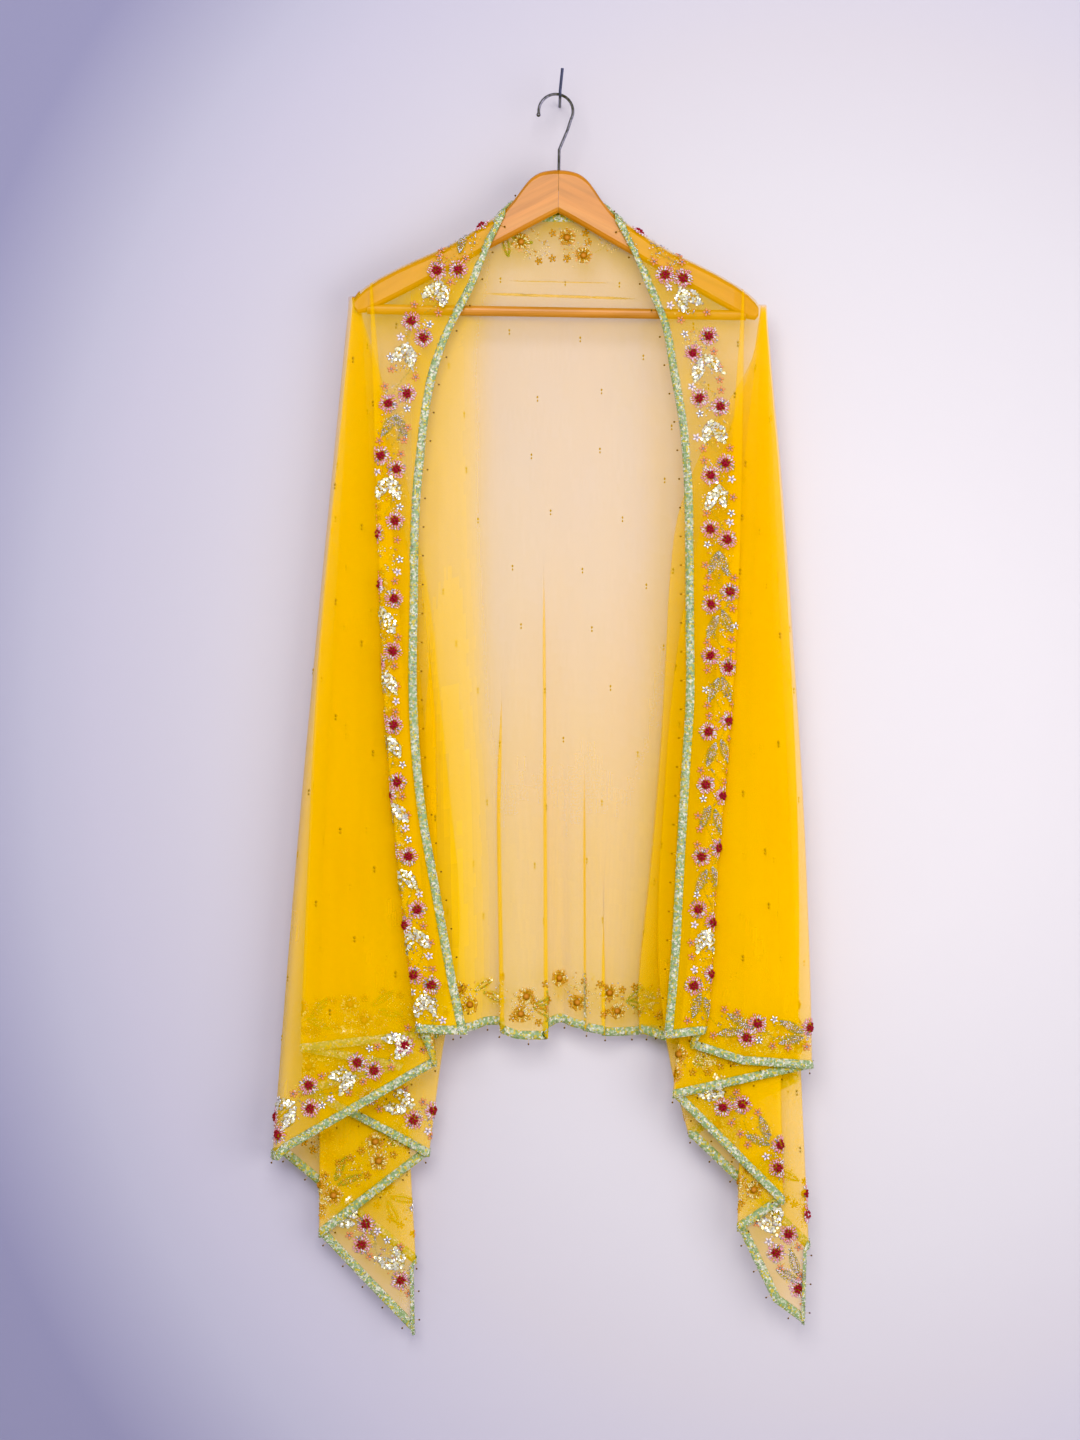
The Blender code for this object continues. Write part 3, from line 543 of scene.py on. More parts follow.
def new_object(name, verts, faces, materials, smooth=True, face_materials=None):
    mesh = bpy.data.meshes.new(name)
    mesh.from_pydata([tuple(v) for v in verts], [], faces)
    for material in materials:
        mesh.materials.append(material)
    if face_materials is not None:
        mesh.polygons.foreach_set("material_index", face_materials)
    if smooth:
        mesh.shade_smooth()
    mesh.update()
    piece = bpy.data.objects.new(name, mesh)
    bpy.context.scene.collection.objects.link(piece)
    return piece


# Materials


def principled(name, colour=(0.8, 0.8, 0.8), roughness=0.5, metallic=0.0, **inputs):
    material = bpy.data.materials.new(name)
    material.use_nodes = True
    nodes = material.node_tree.nodes
    shader = nodes["Principled BSDF"]
    shader.inputs["Base Color"].default_value = (*colour, 1.0)
    shader.inputs["Roughness"].default_value = roughness
    shader.inputs["Metallic"].default_value = metallic
    for key, value in inputs.items():
        shader.inputs[key.replace("_", " ")].default_value = value
    return material, material.node_tree, shader


def add_node(tree, kind, **values):
    node = tree.nodes.new(kind)
    for key, value in values.items():
        if key in node.inputs:
            node.inputs[key].default_value = value
        else:
            setattr(node, key, value)
    return node


def link(output, socket):
    output.id_data.links.new(output, socket)


def own_place(tree):
    """Each point's place in its piece's own frame."""
    return tree.nodes.new("ShaderNodeTexCoord").outputs["Object"]


def multiply(tree, first, second, factor):
    blend = add_node(tree, "ShaderNodeMix", data_type="RGBA", blend_type="MULTIPLY")
    blend.inputs["Factor"].default_value = factor
    link(first, blend.inputs["A"])
    link(second, blend.inputs["B"])
    return blend.outputs["Result"]


def ramp(tree, source, stops, interpolation="LINEAR"):
    node = tree.nodes.new("ShaderNodeValToRGB")
    node.color_ramp.interpolation = interpolation
    elements = node.color_ramp.elements
    while len(elements) < len(stops):
        elements.new(0.5)
    for element, (place, colour) in zip(elements, stops):
        element.position = place
        element.color = (*colour, 1.0)
    link(source, node.inputs["Fac"])
    return node.outputs["Color"]


def add_bump(tree, shader, height, strength, distance):
    bump = add_node(tree, "ShaderNodeBump", Strength=strength, Distance=distance)
    link(height, bump.inputs["Height"])
    link(bump.outputs["Normal"], shader.inputs["Normal"])


def object_noise(tree, scale, detail=3.0, stretch=(1.0, 1.0, 1.0), turn=(0.0, 0.0, 0.0)):
    place = own_place(tree)
    mapping = add_node(tree, "ShaderNodeMapping", vector_type="TEXTURE", Rotation=turn,
                       Scale=[1.0 / share for share in stretch])
    noise = add_node(tree, "ShaderNodeTexNoise", Scale=scale, Detail=detail)
    link(place, mapping.inputs["Vector"])
    link(mapping.outputs["Vector"], noise.inputs["Vector"])
    return noise.outputs["Fac"]


def net_material(density):
    """Sheer net that hides the given share of what lies behind it."""
    material, tree, shader = principled(
        "yellow_net_%03d" % round(density * 1000), roughness=0.8, Alpha=density,
        Specular_IOR_Level=0.08,
    )
    cloud = object_noise(tree, 9.0, 2.0, (1.0, 1.0, 0.35))
    colour = ramp(tree, cloud, ((0.3, (0.95, 0.55, 0.001)), (0.7, (0.97, 0.59, 0.003))))
    place = own_place(tree)
    weave = add_node(tree, "ShaderNodeTexVoronoi", Scale=640.0, Randomness=0.35)
    link(place, weave.inputs["Vector"])
    threads = ramp(tree, weave.outputs["Distance"], ((0.2, (0.9, 0.9, 0.9)), (0.6, (1, 1, 1))))
    link(multiply(tree, colour, threads, 0.6), shader.inputs["Base Color"])
    add_bump(tree, shader, weave.outputs["Distance"], 0.12, 0.0004)
    return material


def beaded_material(name, stops, scale, roughness=0.3, metallic=0.0, strength=0.5):
    """Many small beads or stitches: a fine cell pattern that picks from a few colours."""
    material, tree, shader = principled(name, roughness=roughness, metallic=metallic)
    place = own_place(tree)
    cells = add_node(tree, "ShaderNodeTexVoronoi", Scale=scale)
    link(place, cells.inputs["Vector"])
    split = tree.nodes.new("ShaderNodeSeparateColor")
    link(cells.outputs["Color"], split.inputs["Color"])
    link(ramp(tree, split.outputs["Red"], stops, "CONSTANT"), shader.inputs["Base Color"])
    add_bump(tree, shader, cells.outputs["Distance"], strength, 0.0008)
    return material


def wood_material(name, slant, coat, tones):
    """Varnished wood, with its grain on a slant to the level."""
    material, tree, shader = principled(
        name, roughness=0.42, Coat_Weight=coat, Coat_Roughness=0.25,
    )
    turn = (0.0, slant, 0.0)
    grain = object_noise(tree, 26.0, 6.0, (0.35, 1.0, 3.2), turn)
    streaks = object_noise(tree, 160.0, 4.0, (0.05, 1.0, 1.6), turn)
    base = ramp(tree, grain, tuple(zip((0.3, 0.52, 0.75), tones)))
    lines = ramp(tree, streaks, ((0.35, (0.78, 0.78, 0.78)), (0.6, (1.0, 1.0, 1.0))))
    link(multiply(tree, base, lines, 0.7), shader.inputs["Base Color"])
    add_bump(tree, shader, streaks, 0.12, 0.0005)
    return material


def metal_material(name, dark, light, roughness, metallic):
    material, tree, shader = principled(name, roughness=roughness, metallic=metallic)
    wear = object_noise(tree, 420.0, 4.0)
    link(ramp(tree, wear, ((0.35, dark), (0.7, light))), shader.inputs["Base Color"])
    add_bump(tree, shader, wear, 0.1, 0.0002)
    return material


# Small things sewn on: each shape is a unit mesh of triangles, and a Batch joins many of them


def ball_mesh(rings, sides):
    verts = [(0.0, 0.0, 1.0)]
    for ring in range(1, rings):
        polar = math.pi * ring / rings
        for side in range(sides):
            turn = 2 * math.pi * (side + 0.5 * (ring % 2)) / sides
            verts.append((math.sin(polar) * math.cos(turn), math.sin(polar) * math.sin(turn),
                          math.cos(polar)))
    verts.append((0.0, 0.0, -1.0))
    faces = [(0, 1 + side, 1 + (side + 1) % sides) for side in range(sides)]
    for ring in range(rings - 2):
        upper = 1 + ring * sides
        lower = upper + sides
        for side in range(sides):
            following = (side + 1) % sides
            faces.append((upper + side, lower + side, lower + following))
            faces.append((upper + side, lower + following, upper + following))
    last = len(verts) - 1
    base = last - sides
    faces += [(last, base + (side + 1) % sides, base + side) for side in range(sides)]
    return np.array(verts), np.array(faces)


def disc_mesh(sides):
    verts = [(0.0, 0.0, 0.12)]
    for side in range(sides):
        turn = 2 * math.pi * side / sides
        verts.append((math.cos(turn), math.sin(turn), 0.0))
    faces = [(0, 1 + side, 1 + (side + 1) % sides) for side in range(sides)]
    return np.array(verts), np.array(faces)


BALL = ball_mesh(3, 6)
SEED = ball_mesh(2, 4)
DISC = disc_mesh(8)


class Batch:
    """Many small shapes joined into one mesh, each with one of the batch's materials."""

    def __init__(self, name, materials):
        self.name = name
        self.materials = materials
        self.verts = []
        self.faces = []
        self.kinds = []
        self.count = 0

    def add(self, shape, origins, axes, sizes, kinds):
        """Copies of a unit shape, each at its origin, along its axes and with its sizes."""
        verts, faces = shape
        placed = origins[:, None, :] + np.einsum("vk,nk,nkd->nvd", verts, sizes, axes)
        starts = self.count + np.arange(len(origins)) * len(verts)
        self.verts.append(placed.reshape(-1, 3))
        self.faces.append((faces[None] + starts[:, None, None]).reshape(-1, 3))
        self.kinds.append(np.repeat(kinds, len(faces)))
        self.count += len(origins) * len(verts)

    def build(self):
        return new_object(
            self.name, np.concatenate(self.verts).tolist(),
            np.concatenate(self.faces).tolist(), self.materials, True,
            np.concatenate(self.kinds).astype(int).tolist(),
        )


class Band:
    """An edge of the sheet: q runs along it, and t goes in from it across the cloth."""

    def __init__(self, sheet, columns, rows, inward):
        self.sheet = sheet
        self.columns = np.asarray(columns, dtype=float)
        self.rows = np.asarray(rows, dtype=float)
        self.inward = inward
        self.points = sheet.point(self.columns, self.rows)
        lengths = np.linalg.norm(np.diff(self.points, axis=0), axis=1)
        self.along = np.concatenate([[0.0], np.cumsum(lengths)])
        self.length = self.along[-1]

    def edge_point(self, q):
        return np.stack([np.interp(q, self.along, self.points[:, axis]) for axis in range(3)], 1)

    def start(self, q):
        """Places on the edge, with the directions along it and in from it."""
        c = np.interp(q, self.along, self.columns)
        r = np.interp(q, self.along, self.rows)
        forward = self.edge_point(q + EDGE_REACH) - self.edge_point(q - EDGE_REACH)
        across, down = self.sheet.slopes(c, r)
        normal = unit(np.cross(across, down))
        forward = unit(forward - normal * dot(forward, normal))
        return c, r, forward, self.inward * np.cross(normal, forward)

    def spots(self, q, t):
        """Places at q and t, with the edge's direction carried to each of them."""
        q, t = np.broadcast_arrays(np.asarray(q, dtype=float), np.asarray(t, dtype=float))
        c, r, forward, inward = self.start(q)
        return self.sheet.walk(c, r, inward, forward, t)


def square_axes(first, normal):
    """Three axes at each place: the first, the one square to it, and the normal."""
    return np.stack([first, np.cross(normal, first), normal], axis=1)


Stitch = namedtuple("Stitch", "shape x y turn length width height lift kind")


def ray(shape, reach, turn, twist, *rest):
    """A stitch that points outwards, at its reach from the middle of the motif."""
    return Stitch(shape, reach * math.cos(turn), reach * math.sin(turn), turn + twist, *rest)


def sew(batch, band, spot, stitches, angle=0.0):
    """Lays a motif of stitches, given in millimetres, on the sheet round a spot."""
    sheet = band.sheet
    c0, r0, forward, alive = spot
    if not alive[0]:
        return
    x = np.array([stitch.x for stitch in stitches]) * MM
    y = np.array([stitch.y for stitch in stitches]) * MM
    turned_x = x * math.cos(angle) - y * math.sin(angle)
    turned_y = x * math.sin(angle) + y * math.cos(angle)
    distance = np.hypot(turned_x, turned_y) + 1e-9
    side = band.inward * np.cross(sheet.normal(c0, r0), forward)
    heading = (turned_x[:, None] * forward + turned_y[:, None] * side) / distance[:, None]
    count = len(stitches)
    c, r, mark, kept = sheet.walk(np.repeat(c0, count), np.repeat(r0, count), heading,
                                  np.repeat(forward, count, axis=0), distance)
    point, normal = sheet.point(c, r), sheet.normal(c, r)
    mark = unit(mark - normal * dot(mark, normal))
    side = band.inward * np.cross(normal, mark)
    turns = np.array([stitch.turn for stitch in stitches]) + angle
    long_way = mark * np.cos(turns)[:, None] + side * np.sin(turns)[:, None]
    wide_way = np.cross(normal, long_way)
    sizes = np.array([(s.length, s.width, s.height) for s in stitches]) / 2 * MM
    lifts = np.array([stitch.lift for stitch in stitches]) * MM
    kinds = np.array([stitch.kind for stitch in stitches])
    origins = point + normal * lifts[:, None]
    for shape in (BALL, SEED, DISC):
        chosen = kept & np.array([stitch.shape is shape for stitch in stitches])
        if chosen.any():
            axes = square_axes(long_way, normal)
            if shape is DISC:
                tilt = RNG.normal(0, SEQUIN_TILT, (count, 2))
                out = unit(normal + long_way * tilt[:, :1] + wide_way * tilt[:, 1:])
                axes = square_axes(unit(np.cross(wide_way, out)), out)
            batch.add(shape, origins[chosen], axes[chosen], sizes[chosen], kinds[chosen])


(PINK, WHITE, RED, PEACH, SILVER, LILAC, OLIVE, GOLD, PEARL, CREAM, BACK_GOLD, BACK_AMBER,
 BACK_OLIVE, BACK_LIGHT) = range(14)


def pick(*choices):
    """One of the kinds, each given with its weight."""
    weights = np.array([weight for _, weight in choices], dtype=float)
    return choices[RNG.choice(len(choices), p=weights / weights.sum())][0]


def big_flower():
    """Pink and white petals round a raised heap of dark red beads, with its wrong side."""
    stitches = []
    first = RNG.uniform(0, math.pi)
    for ring, (count, radius, length, width) in enumerate(((16, 6.6, 5.0, 2.4),
                                                          (26, 9.2, 3.6, 1.6))):
        for petal in range(count):
            turn = 2 * math.pi * (petal + 0.5 * ring) / count + RNG.normal(0, 0.06)
            reach = radius * (1.0 + 0.08 * math.cos(5 * turn + first)) + RNG.normal(0, 0.35)
            kind = pick((PINK, 0.64), (WHITE, 0.28), (LILAC, 0.08))
            stitches.append(ray(SEED, reach, turn, RNG.normal(0, 0.25), length, width, 1.3, 0.9,
                                kind))
    for layer, (count, radius, lift) in enumerate(((7, 3.6, 1.4), (3, 1.6, 2.6))):
        for dome in range(count):
            turn = first + 2 * math.pi * (dome + 0.5 * layer) / count
            reach = radius + RNG.normal(0, 0.5)
            stitches.append(ray(BALL, reach, turn, 0.0, 3.6, 3.3, 2.7,
                                lift + RNG.normal(0, 0.15), RED))
    for petal in range(22):
        turn = first + 2 * math.pi * petal / 22
        reach = 7.0 + RNG.normal(0, 0.9)
        stitches.append(ray(SEED, reach, turn, 0.0, 4.8, 2.0, 0.5, -0.5,
                            pick((BACK_GOLD, 0.6), (BACK_LIGHT, 0.4))))
    stitches.append(Stitch(BALL, 0.0, 0.0, 0.0, 9.4, 9.0, 0.5, -0.5, BACK_AMBER))
    return stitches


def small_flower():
    """Five petals round a lilac bead, mostly peach."""
    stitches = []
    first = RNG.uniform(0, math.pi)
    tone = pick((PEACH, 0.66), (WHITE, 0.16), (SILVER, 0.18))
    for petal in range(5):
        turn = first + 2 * math.pi * petal / 5
        stitches.append(ray(BALL, 2.8, turn, 0.0, 4.4, 2.6, 1.2, 0.8, tone))
        stitches.append(ray(SEED, 2.8, turn, 0.0, 4.2, 2.8, 0.5, -0.4, BACK_GOLD))
    stitches.append(Stitch(BALL, 0.0, 0.0, 0.0, 2.4, 2.4, 2.0, 1.3, LILAC))
    return stitches


def leaf_places(length, width):
    """Places down a leaf: how far along, its half width there, and each of its sides."""
    steps = int(length / LEAF_STEP)
    for step in range(steps + 1):
        along = length * step / steps
        half = width / 2 * math.sin(math.pi * min(along / length * 0.93 + 0.05, 1.0)) ** 0.8
        yield from ((along, half, side) for side in (-1, 1))


def leaf(length, width):
    """A leaf on its stem: a stitched outline filled with silver and lilac bugle beads."""
    stitches = []
    for along, half, side in leaf_places(length, width):
        stitches.append(Stitch(SEED, along, side * half, side * 0.3, 2.4, 1.1, 0.9, 0.7,
                               pick((OLIVE, 0.7), (GOLD, 0.3))))
        for across in (0.24, 0.62):
            kind = pick((LILAC, 0.36), (SILVER, 0.40), (WHITE, 0.14), (OLIVE, 0.10))
            stitches.append(Stitch(SEED, along + RNG.normal(0, 0.4), side * half * across,
                                   side * 0.75, 2.3, 1.25, 1.2, 1.0, kind))
        stitches.append(Stitch(SEED, along, side * half * 0.55, side * 0.6, 3.4, 2.0, 0.4, -0.4,
                               pick((BACK_OLIVE, 0.7), (BACK_GOLD, 0.3))))
    return stitches


def shiny_leaf(length, width):
    """A leaf outlined in seed beads and filled with overlapping sequins."""
    stitches = []
    for along, half, side in leaf_places(length, width):
        stitches.append(Stitch(SEED, along, side * (half + 0.8), side * 0.3, 2.4, 1.4, 1.2, 0.9,
                               pick((LILAC, 0.5), (OLIVE, 0.3), (SILVER, 0.2))))
        for _ in range(2):
            x, y = along + RNG.normal(0, 1.5), side * half * RNG.uniform(0.0, 1.35)
            kind = pick((PEARL, 0.40), (CREAM, 0.32), (SILVER, 0.10), (GOLD, 0.18))
            size = RNG.uniform(2.5, 3.4)
            stitches.append(Stitch(DISC, x, y, 0.0, size, size, size, RNG.uniform(1.0, 2.0),
                                   kind))
        stitches.append(Stitch(SEED, along, side * half * 0.5, RNG.uniform(0, math.pi), 3.0, 2.0,
                               0.4, -0.4, pick((BACK_LIGHT, 0.5), (BACK_OLIVE, 0.25),
                                               (BACK_GOLD, 0.25))))
    return stitches


def speckles(count, reach):
    """Single silver and gold seed beads, strewn between the larger motifs."""
    stitches = []
    for _ in range(count):
        x, y = RNG.uniform(-reach, reach), RNG.uniform(-reach, reach)
        turn = RNG.uniform(0, math.pi)
        kind = pick((SILVER, 0.3), (LILAC, 0.35), (PEACH, 0.15), (WHITE, 0.2))
        stitches.append(Stitch(SEED, x, y, turn, 2.6, 1.7, 1.2, 0.7, kind))
        for _ in range(2):
            stitches.append(Stitch(SEED, x + RNG.normal(0, 3), y + RNG.normal(0, 3), turn, 2.3,
                                   1.5, 0.5, -0.4,
                                   pick((SILVER, 0.25), (BACK_GOLD, 0.25), (BACK_LIGHT, 0.5))))
    return stitches


def vine(length, sway):
    """A stem in running stitch that sways from side to side."""
    steps = int(length / 3.0)
    return [
        Stitch(SEED, length * (step / steps - 0.5), sway * math.sin(2 * math.pi * step / steps),
               sway * 2 * math.pi / length * math.cos(2 * math.pi * step / steps), 2.6, 0.9, 0.8,
               0.5, OLIVE)
        for step in range(steps + 1)
    ]


# One repeat of the border, worked out afresh: what, how far along and across, and its turn.
# Sequins take the place of leaves in some repeats.
Motif = namedtuple("Motif", "kind along across angle")
REPEAT = 0.070
BORDER_TURN = 74
BORDER = [Motif(*motif) for motif in (
    ("vine", 35, 37, 0.0), ("leaf", 34, 34, -0.42), ("leaf", 36, 39, 0.40), ("big", 10, 27, 0),
    ("big", 23, 46, 0), ("small", 27, 24, 0), ("small", 6, 49, 0), ("small", 63, 24, 0),
    ("small", 64, 52, 0), ("small", 47, 21, 0), ("speckles", 50, 38, 0),
    ("speckles", 16, 37, 0),
)]
LEAF_SIZE = (26.0, 9.5)
SHINY_LEAF_SIZE = (22.0, 9.5)
VINE_SWAY = 7.0
SPECKLE_COUNT = 24
SPECKLE_REACH = 14


def make_motif(kind, shiny, repeat):
    if kind == "big":
        return big_flower()
    if kind == "small":
        return small_flower()
    if kind == "speckles":
        return speckles(SPECKLE_COUNT, SPECKLE_REACH)
    if kind == "vine":
        return vine(repeat / MM, VINE_SWAY)
    return shiny_leaf(*SHINY_LEAF_SIZE) if shiny else leaf(*LEAF_SIZE)


def embroider(batch, band, start, end, sequin_share, skip):
    """Repeats the border along a band, from start to end, with no two repeats alike."""
    repeats = max(int(round((end - start) / REPEAT)), 1)
    unit_length = (end - start) / repeats
    for index in range(repeats):
        shiny = RNG.random() < sequin_share(start + (index + 0.5) * unit_length)
        for motif in BORDER:
            q = start + (index + motif.along * MM / REPEAT) * unit_length
            q += RNG.normal(0, 1.5) * MM
            across = motif.across if index % 2 else BORDER_TURN - motif.across
            t = (across + RNG.normal(0, 1.2)) * MM
            angle = (motif.angle if index % 2 else -motif.angle) + RNG.normal(0, 0.1)
            if any(low < q < high for low, high in skip):
                continue
            turn = angle if motif.kind == "leaf" else 0.0
            stitches = make_motif(motif.kind, shiny, unit_length)
            sew(batch, band, band.spots([q], [t]), stitches, turn)


ACROSS = (0.0, 1.0, 3.0, 4.8, 6.6, 8.4, 9.4, 9.4, 0.0)
LIFTS = (0.4, 1.2, 1.6, 1.7, 1.6, 1.2, 0.4, -0.6, -0.6)
BEAD_ROWS = (0.9, 2.8, 4.7, 6.6, 8.5)
BACK_BEAD_ROWS = (2.0, 6.0)
BEAD_STEP = 0.0027


def edging_points(band, q, t, lift, hanging):
    """Points of the edging; where the edge hangs straight down, it lies to its left."""
    c, r, _, _ = band.spots(q, t)
    points = band.sheet.point(c, r)
    normal = band.sheet.normal(c, r)
    points += normal * lift[:, None]
    for low, high in hanging:
        chosen = (q > low) & (q < high)
        turned = band.edge_point(q) + np.stack([-0.45 * t, -lift - 0.3 * t, 0 * t], axis=1)
        points[chosen] = turned[chosen]
        normal[chosen] = (0.0, -1.0, 0.0)
    return points, normal


def edging(name, band, start, end, green, beads, hanging):
    """The green edging: a raised strip along the edge, and its rows of small beads."""
    steps = max(int((end - start) / EDGING_STEP), 2)
    rows = len(ACROSS)
    q = np.repeat(np.linspace(start, end, steps + 1), rows)
    t = np.tile(np.array(ACROSS) * MM, steps + 1)
    lift = np.tile(np.array(LIFTS) * MM, steps + 1)
    points, _ = edging_points(band, q, t, lift, hanging)
    faces = [
        (s * rows + r, (s + 1) * rows + r, (s + 1) * rows + (r + 1) % rows,
         s * rows + (r + 1) % rows)
        for s in range(steps) for r in range(rows)
    ]
    strip = new_object(name, points.tolist(), faces, [green])
    count = int((end - start) / BEAD_STEP)
    bead_rows = BEAD_ROWS + BACK_BEAD_ROWS
    q = np.repeat(start + BEAD_STEP * (np.arange(count) + 0.5), len(bead_rows))
    t = np.tile(np.array(bead_rows) * MM, count)
    lift = np.tile([1.8 * MM] * len(BEAD_ROWS) + [-0.7 * MM] * len(BACK_BEAD_ROWS), count)
    keep = RNG.random(len(q)) < BEAD_SHARE
    q, t, lift = q[keep], t[keep], lift[keep]
    q = np.clip(q + RNG.normal(0, 0.4 * MM, len(q)), start, end)
    t = t + RNG.normal(0, 0.35 * MM, len(t))
    points, normal = edging_points(band, q, t, lift, hanging)
    turn = RNG.uniform(0, math.pi, len(q))
    level = unit(np.cross(normal, np.array([[0.3, 0.5, 0.8]])))
    upright = np.cross(normal, level)
    long_way = level * np.cos(turn)[:, None] + upright * np.sin(turn)[:, None]
    axes = square_axes(long_way, normal)
    sizes = np.stack([RNG.uniform(0.9, 1.5, len(q)), np.full(len(q), 0.75),
                      np.full(len(q), 0.6)], axis=1) * MM
    beads.add(SEED, points, axes, sizes, RNG.choice((0, 0, 1, 1, 1, 2), len(q)))
    return strip


def picots(batch, band, start, end, hanging):
    """Dark beads that hang on a loop of thread just off the edge."""
    q = np.arange(start + PICOT_STEP / 2, end, PICOT_STEP)
    c, r, _, inward = band.start(q)
    for low, high in hanging:
        inward[(q > low) & (q < high)] = (-1.0, 0.0, 0.0)
    normal = band.sheet.normal(c, r)
    inward = unit(inward - normal * dot(inward, normal))
    edge = band.edge_point(q)
    axes = square_axes(inward, normal)
    count = len(q)
    batch.add(BALL, edge - inward * 5.0 * MM + normal * 0.5 * MM, axes,
              np.tile(np.array([1.25, 1.1, 1.1]) * MM, (count, 1)), np.zeros(count))
    batch.add(BALL, edge - inward * 2.2 * MM, axes,
              np.tile(np.array([2.3, 0.22, 0.22]) * MM, (count, 1)), np.ones(count))


def butis(batch, sheet):
    """Pairs of tiny beads scattered over the plain field, inside the borders."""
    lengths = np.linalg.norm(np.diff(sheet.grid, axis=0), axis=2)
    for level, share in enumerate(np.linspace(0.07, 0.86, 12)):
        row = TOP_ROWS - 1 + np.interp(share, ROW_SHARES, np.arange(1, len(ROW_SHARES) + 1))
        ladder = np.concatenate([[0.0], np.cumsum(lengths[:, int(row)])])
        first = BUTI_MARGIN + BUTI_STEP / 2 * (level % 2)
        q = np.arange(first, ladder[-1] - BUTI_MARGIN, BUTI_STEP)
        q = q + RNG.normal(0, 0.004, len(q))
        c = np.interp(q, ladder, np.arange(len(ladder)))
        r = np.full(len(q), row)
        normal = sheet.normal(c, r)
        _, down = sheet.slopes(c, r)
        down = unit(down)
        axes = square_axes(down, normal)
        for offset, size in ((-1.9, 1.0), (1.9, 0.85)):
            origins = sheet.point(c, r) + down * offset * MM + normal * 0.8 * MM
            sizes = np.tile(np.array([1.6, 1.2, 0.9]) * size * MM, (len(q), 1))
            batch.add(BALL, origins, axes, sizes, np.zeros(len(q)))


# The stole

left_columns = make_columns(LEFT_FRONT, LEFT_FALL)
back_columns = make_back_columns()
right_columns = make_columns(RIGHT_FRONT, RIGHT_FALL)[::-1]
all_columns = left_columns + back_columns + right_columns
sides = [column.side for column in all_columns]
is_back = np.array([side == "back" for side in sides])
hem_x = np.array([column.hem[0] for column in all_columns]) / MM
grid = make_grid(all_columns)
add_softness(grid, hem_x, sides)
add_creases(grid, hem_x, is_back)
add_wrinkles(grid, is_back)
sheet = Sheet(grid + (0.0, HANGER_Y, 0.0))

row_count = grid.shape[1]
net_faces = [
    (c * row_count + r, c * row_count + r + 1, (c + 1) * row_count + r + 1,
     (c + 1) * row_count + r)
    for c in range(len(all_columns) - 1) for r in range(row_count - 1)
]
middles = (grid[1:, 1:] + grid[:-1, :-1])[:, :, [0, 2]] / 2 / MM
densities = net_density(middles[:, :, 0], middles[:, :, 1], is_back[1:, None])
densities += np.random.default_rng(11).uniform(-DENSITY_DITHER, DENSITY_DITHER, densities.shape)
levels = np.abs(densities[:, :, None] - np.array(NET_DENSITIES)).argmin(axis=2)
net = new_object("stole_net", sheet.grid.reshape(-1, 3).tolist(), net_faces,
                 [net_material(density) for density in NET_DENSITIES], True,
                 levels.reshape(-1).tolist())
CLOTH_NODES = (
    "cloth_front_left", "cloth_fall_left_outer", "cloth_fall_left_inner", "cloth_back",
    "cloth_fall_right_inner", "cloth_fall_right_outer", "cloth_front_right",
)
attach(net, "root")
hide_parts(*CLOTH_NODES)

# Its edges

last_row = sheet.last_row
last_column = sheet.last_column
every_row = np.arange(last_row + 1)
every_column = np.arange(last_column + 1)
left_band = Band(sheet, np.zeros(last_row + 1), every_row, -1)
right_band = Band(sheet, np.full(last_row + 1, last_column), every_row, 1)
hem_band = Band(sheet, every_column, np.full(last_column + 1, last_row), -1)
first_back = len(left_columns)
back_range = np.arange(first_back, first_back + len(back_columns))
neck_band = Band(sheet, back_range, np.zeros(len(back_range)), 1)
neck_x = neck_band.points[:, 0]
neck_start = float(np.interp(-SHOULDER_OUTER, neck_x, neck_band.along))
neck_end = float(np.interp(SHOULDER_OUTER, neck_x, neck_band.along))

# The lengths of the hem where a short edge hangs straight down to the stole's corner
hem_points = hem_band.points
hanging_edges = []
for lowest in (int(np.argmin(hem_points[:first_back, 2])),
               first_back + int(np.argmin(hem_points[first_back:, 2]))):
    steps = hem_points[1:] - hem_points[:-1]
    upright = np.abs(unit(steps)[:, 2]) > STRAIGHT_DOWN
    first = last = lowest
    while upright[first - 1]:
        first -= 1
    while upright[last]:
        last += 1
    hanging_edges.append((hem_band.along[first], hem_band.along[last]))

trim_green = beaded_material(
    "edging_green", ((0.0, (0.21, 0.31, 0.14)), (0.42, (0.50, 0.40, 0.06)),
                     (0.62, (0.41, 0.45, 0.27)), (0.84, (0.62, 0.61, 0.46))), 480.0, 0.5)
trim_materials = [principled(*look)[0] for look in (
    ("bead_mint", (0.27, 0.38, 0.20), 0.3),
    ("bead_silver_green", (0.72, 0.73, 0.62), 0.2, 0.5),
    ("bead_silver_lilac", (0.32, 0.30, 0.32), 0.25, 0.4),
)]
trim_beads_front = Batch("edging_beads_front", trim_materials)
trim_beads_hem = Batch("edging_beads_hem", trim_materials)
for name, band, start, end, beads, hanging, nodes in (
    ("edging_left", left_band, 0.0, left_band.length, trim_beads_front, (),
     ["trim_edge_left"]),
    ("edging_right", right_band, 0.0, right_band.length, trim_beads_front, (),
     ["trim_edge_right"]),
    ("edging_neck", neck_band, neck_start, neck_end, trim_beads_front, (), ["trim_neck"]),
    ("edging_hem", hem_band, 0.0, hem_band.length, trim_beads_hem, hanging_edges,
     ["trim_hem_" + node[6:] for node in CLOTH_NODES]),
):
    strip = edging(name, band, start, end, trim_green, beads, hanging)
    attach(strip, "root")
    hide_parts(*nodes)

# Embroidery

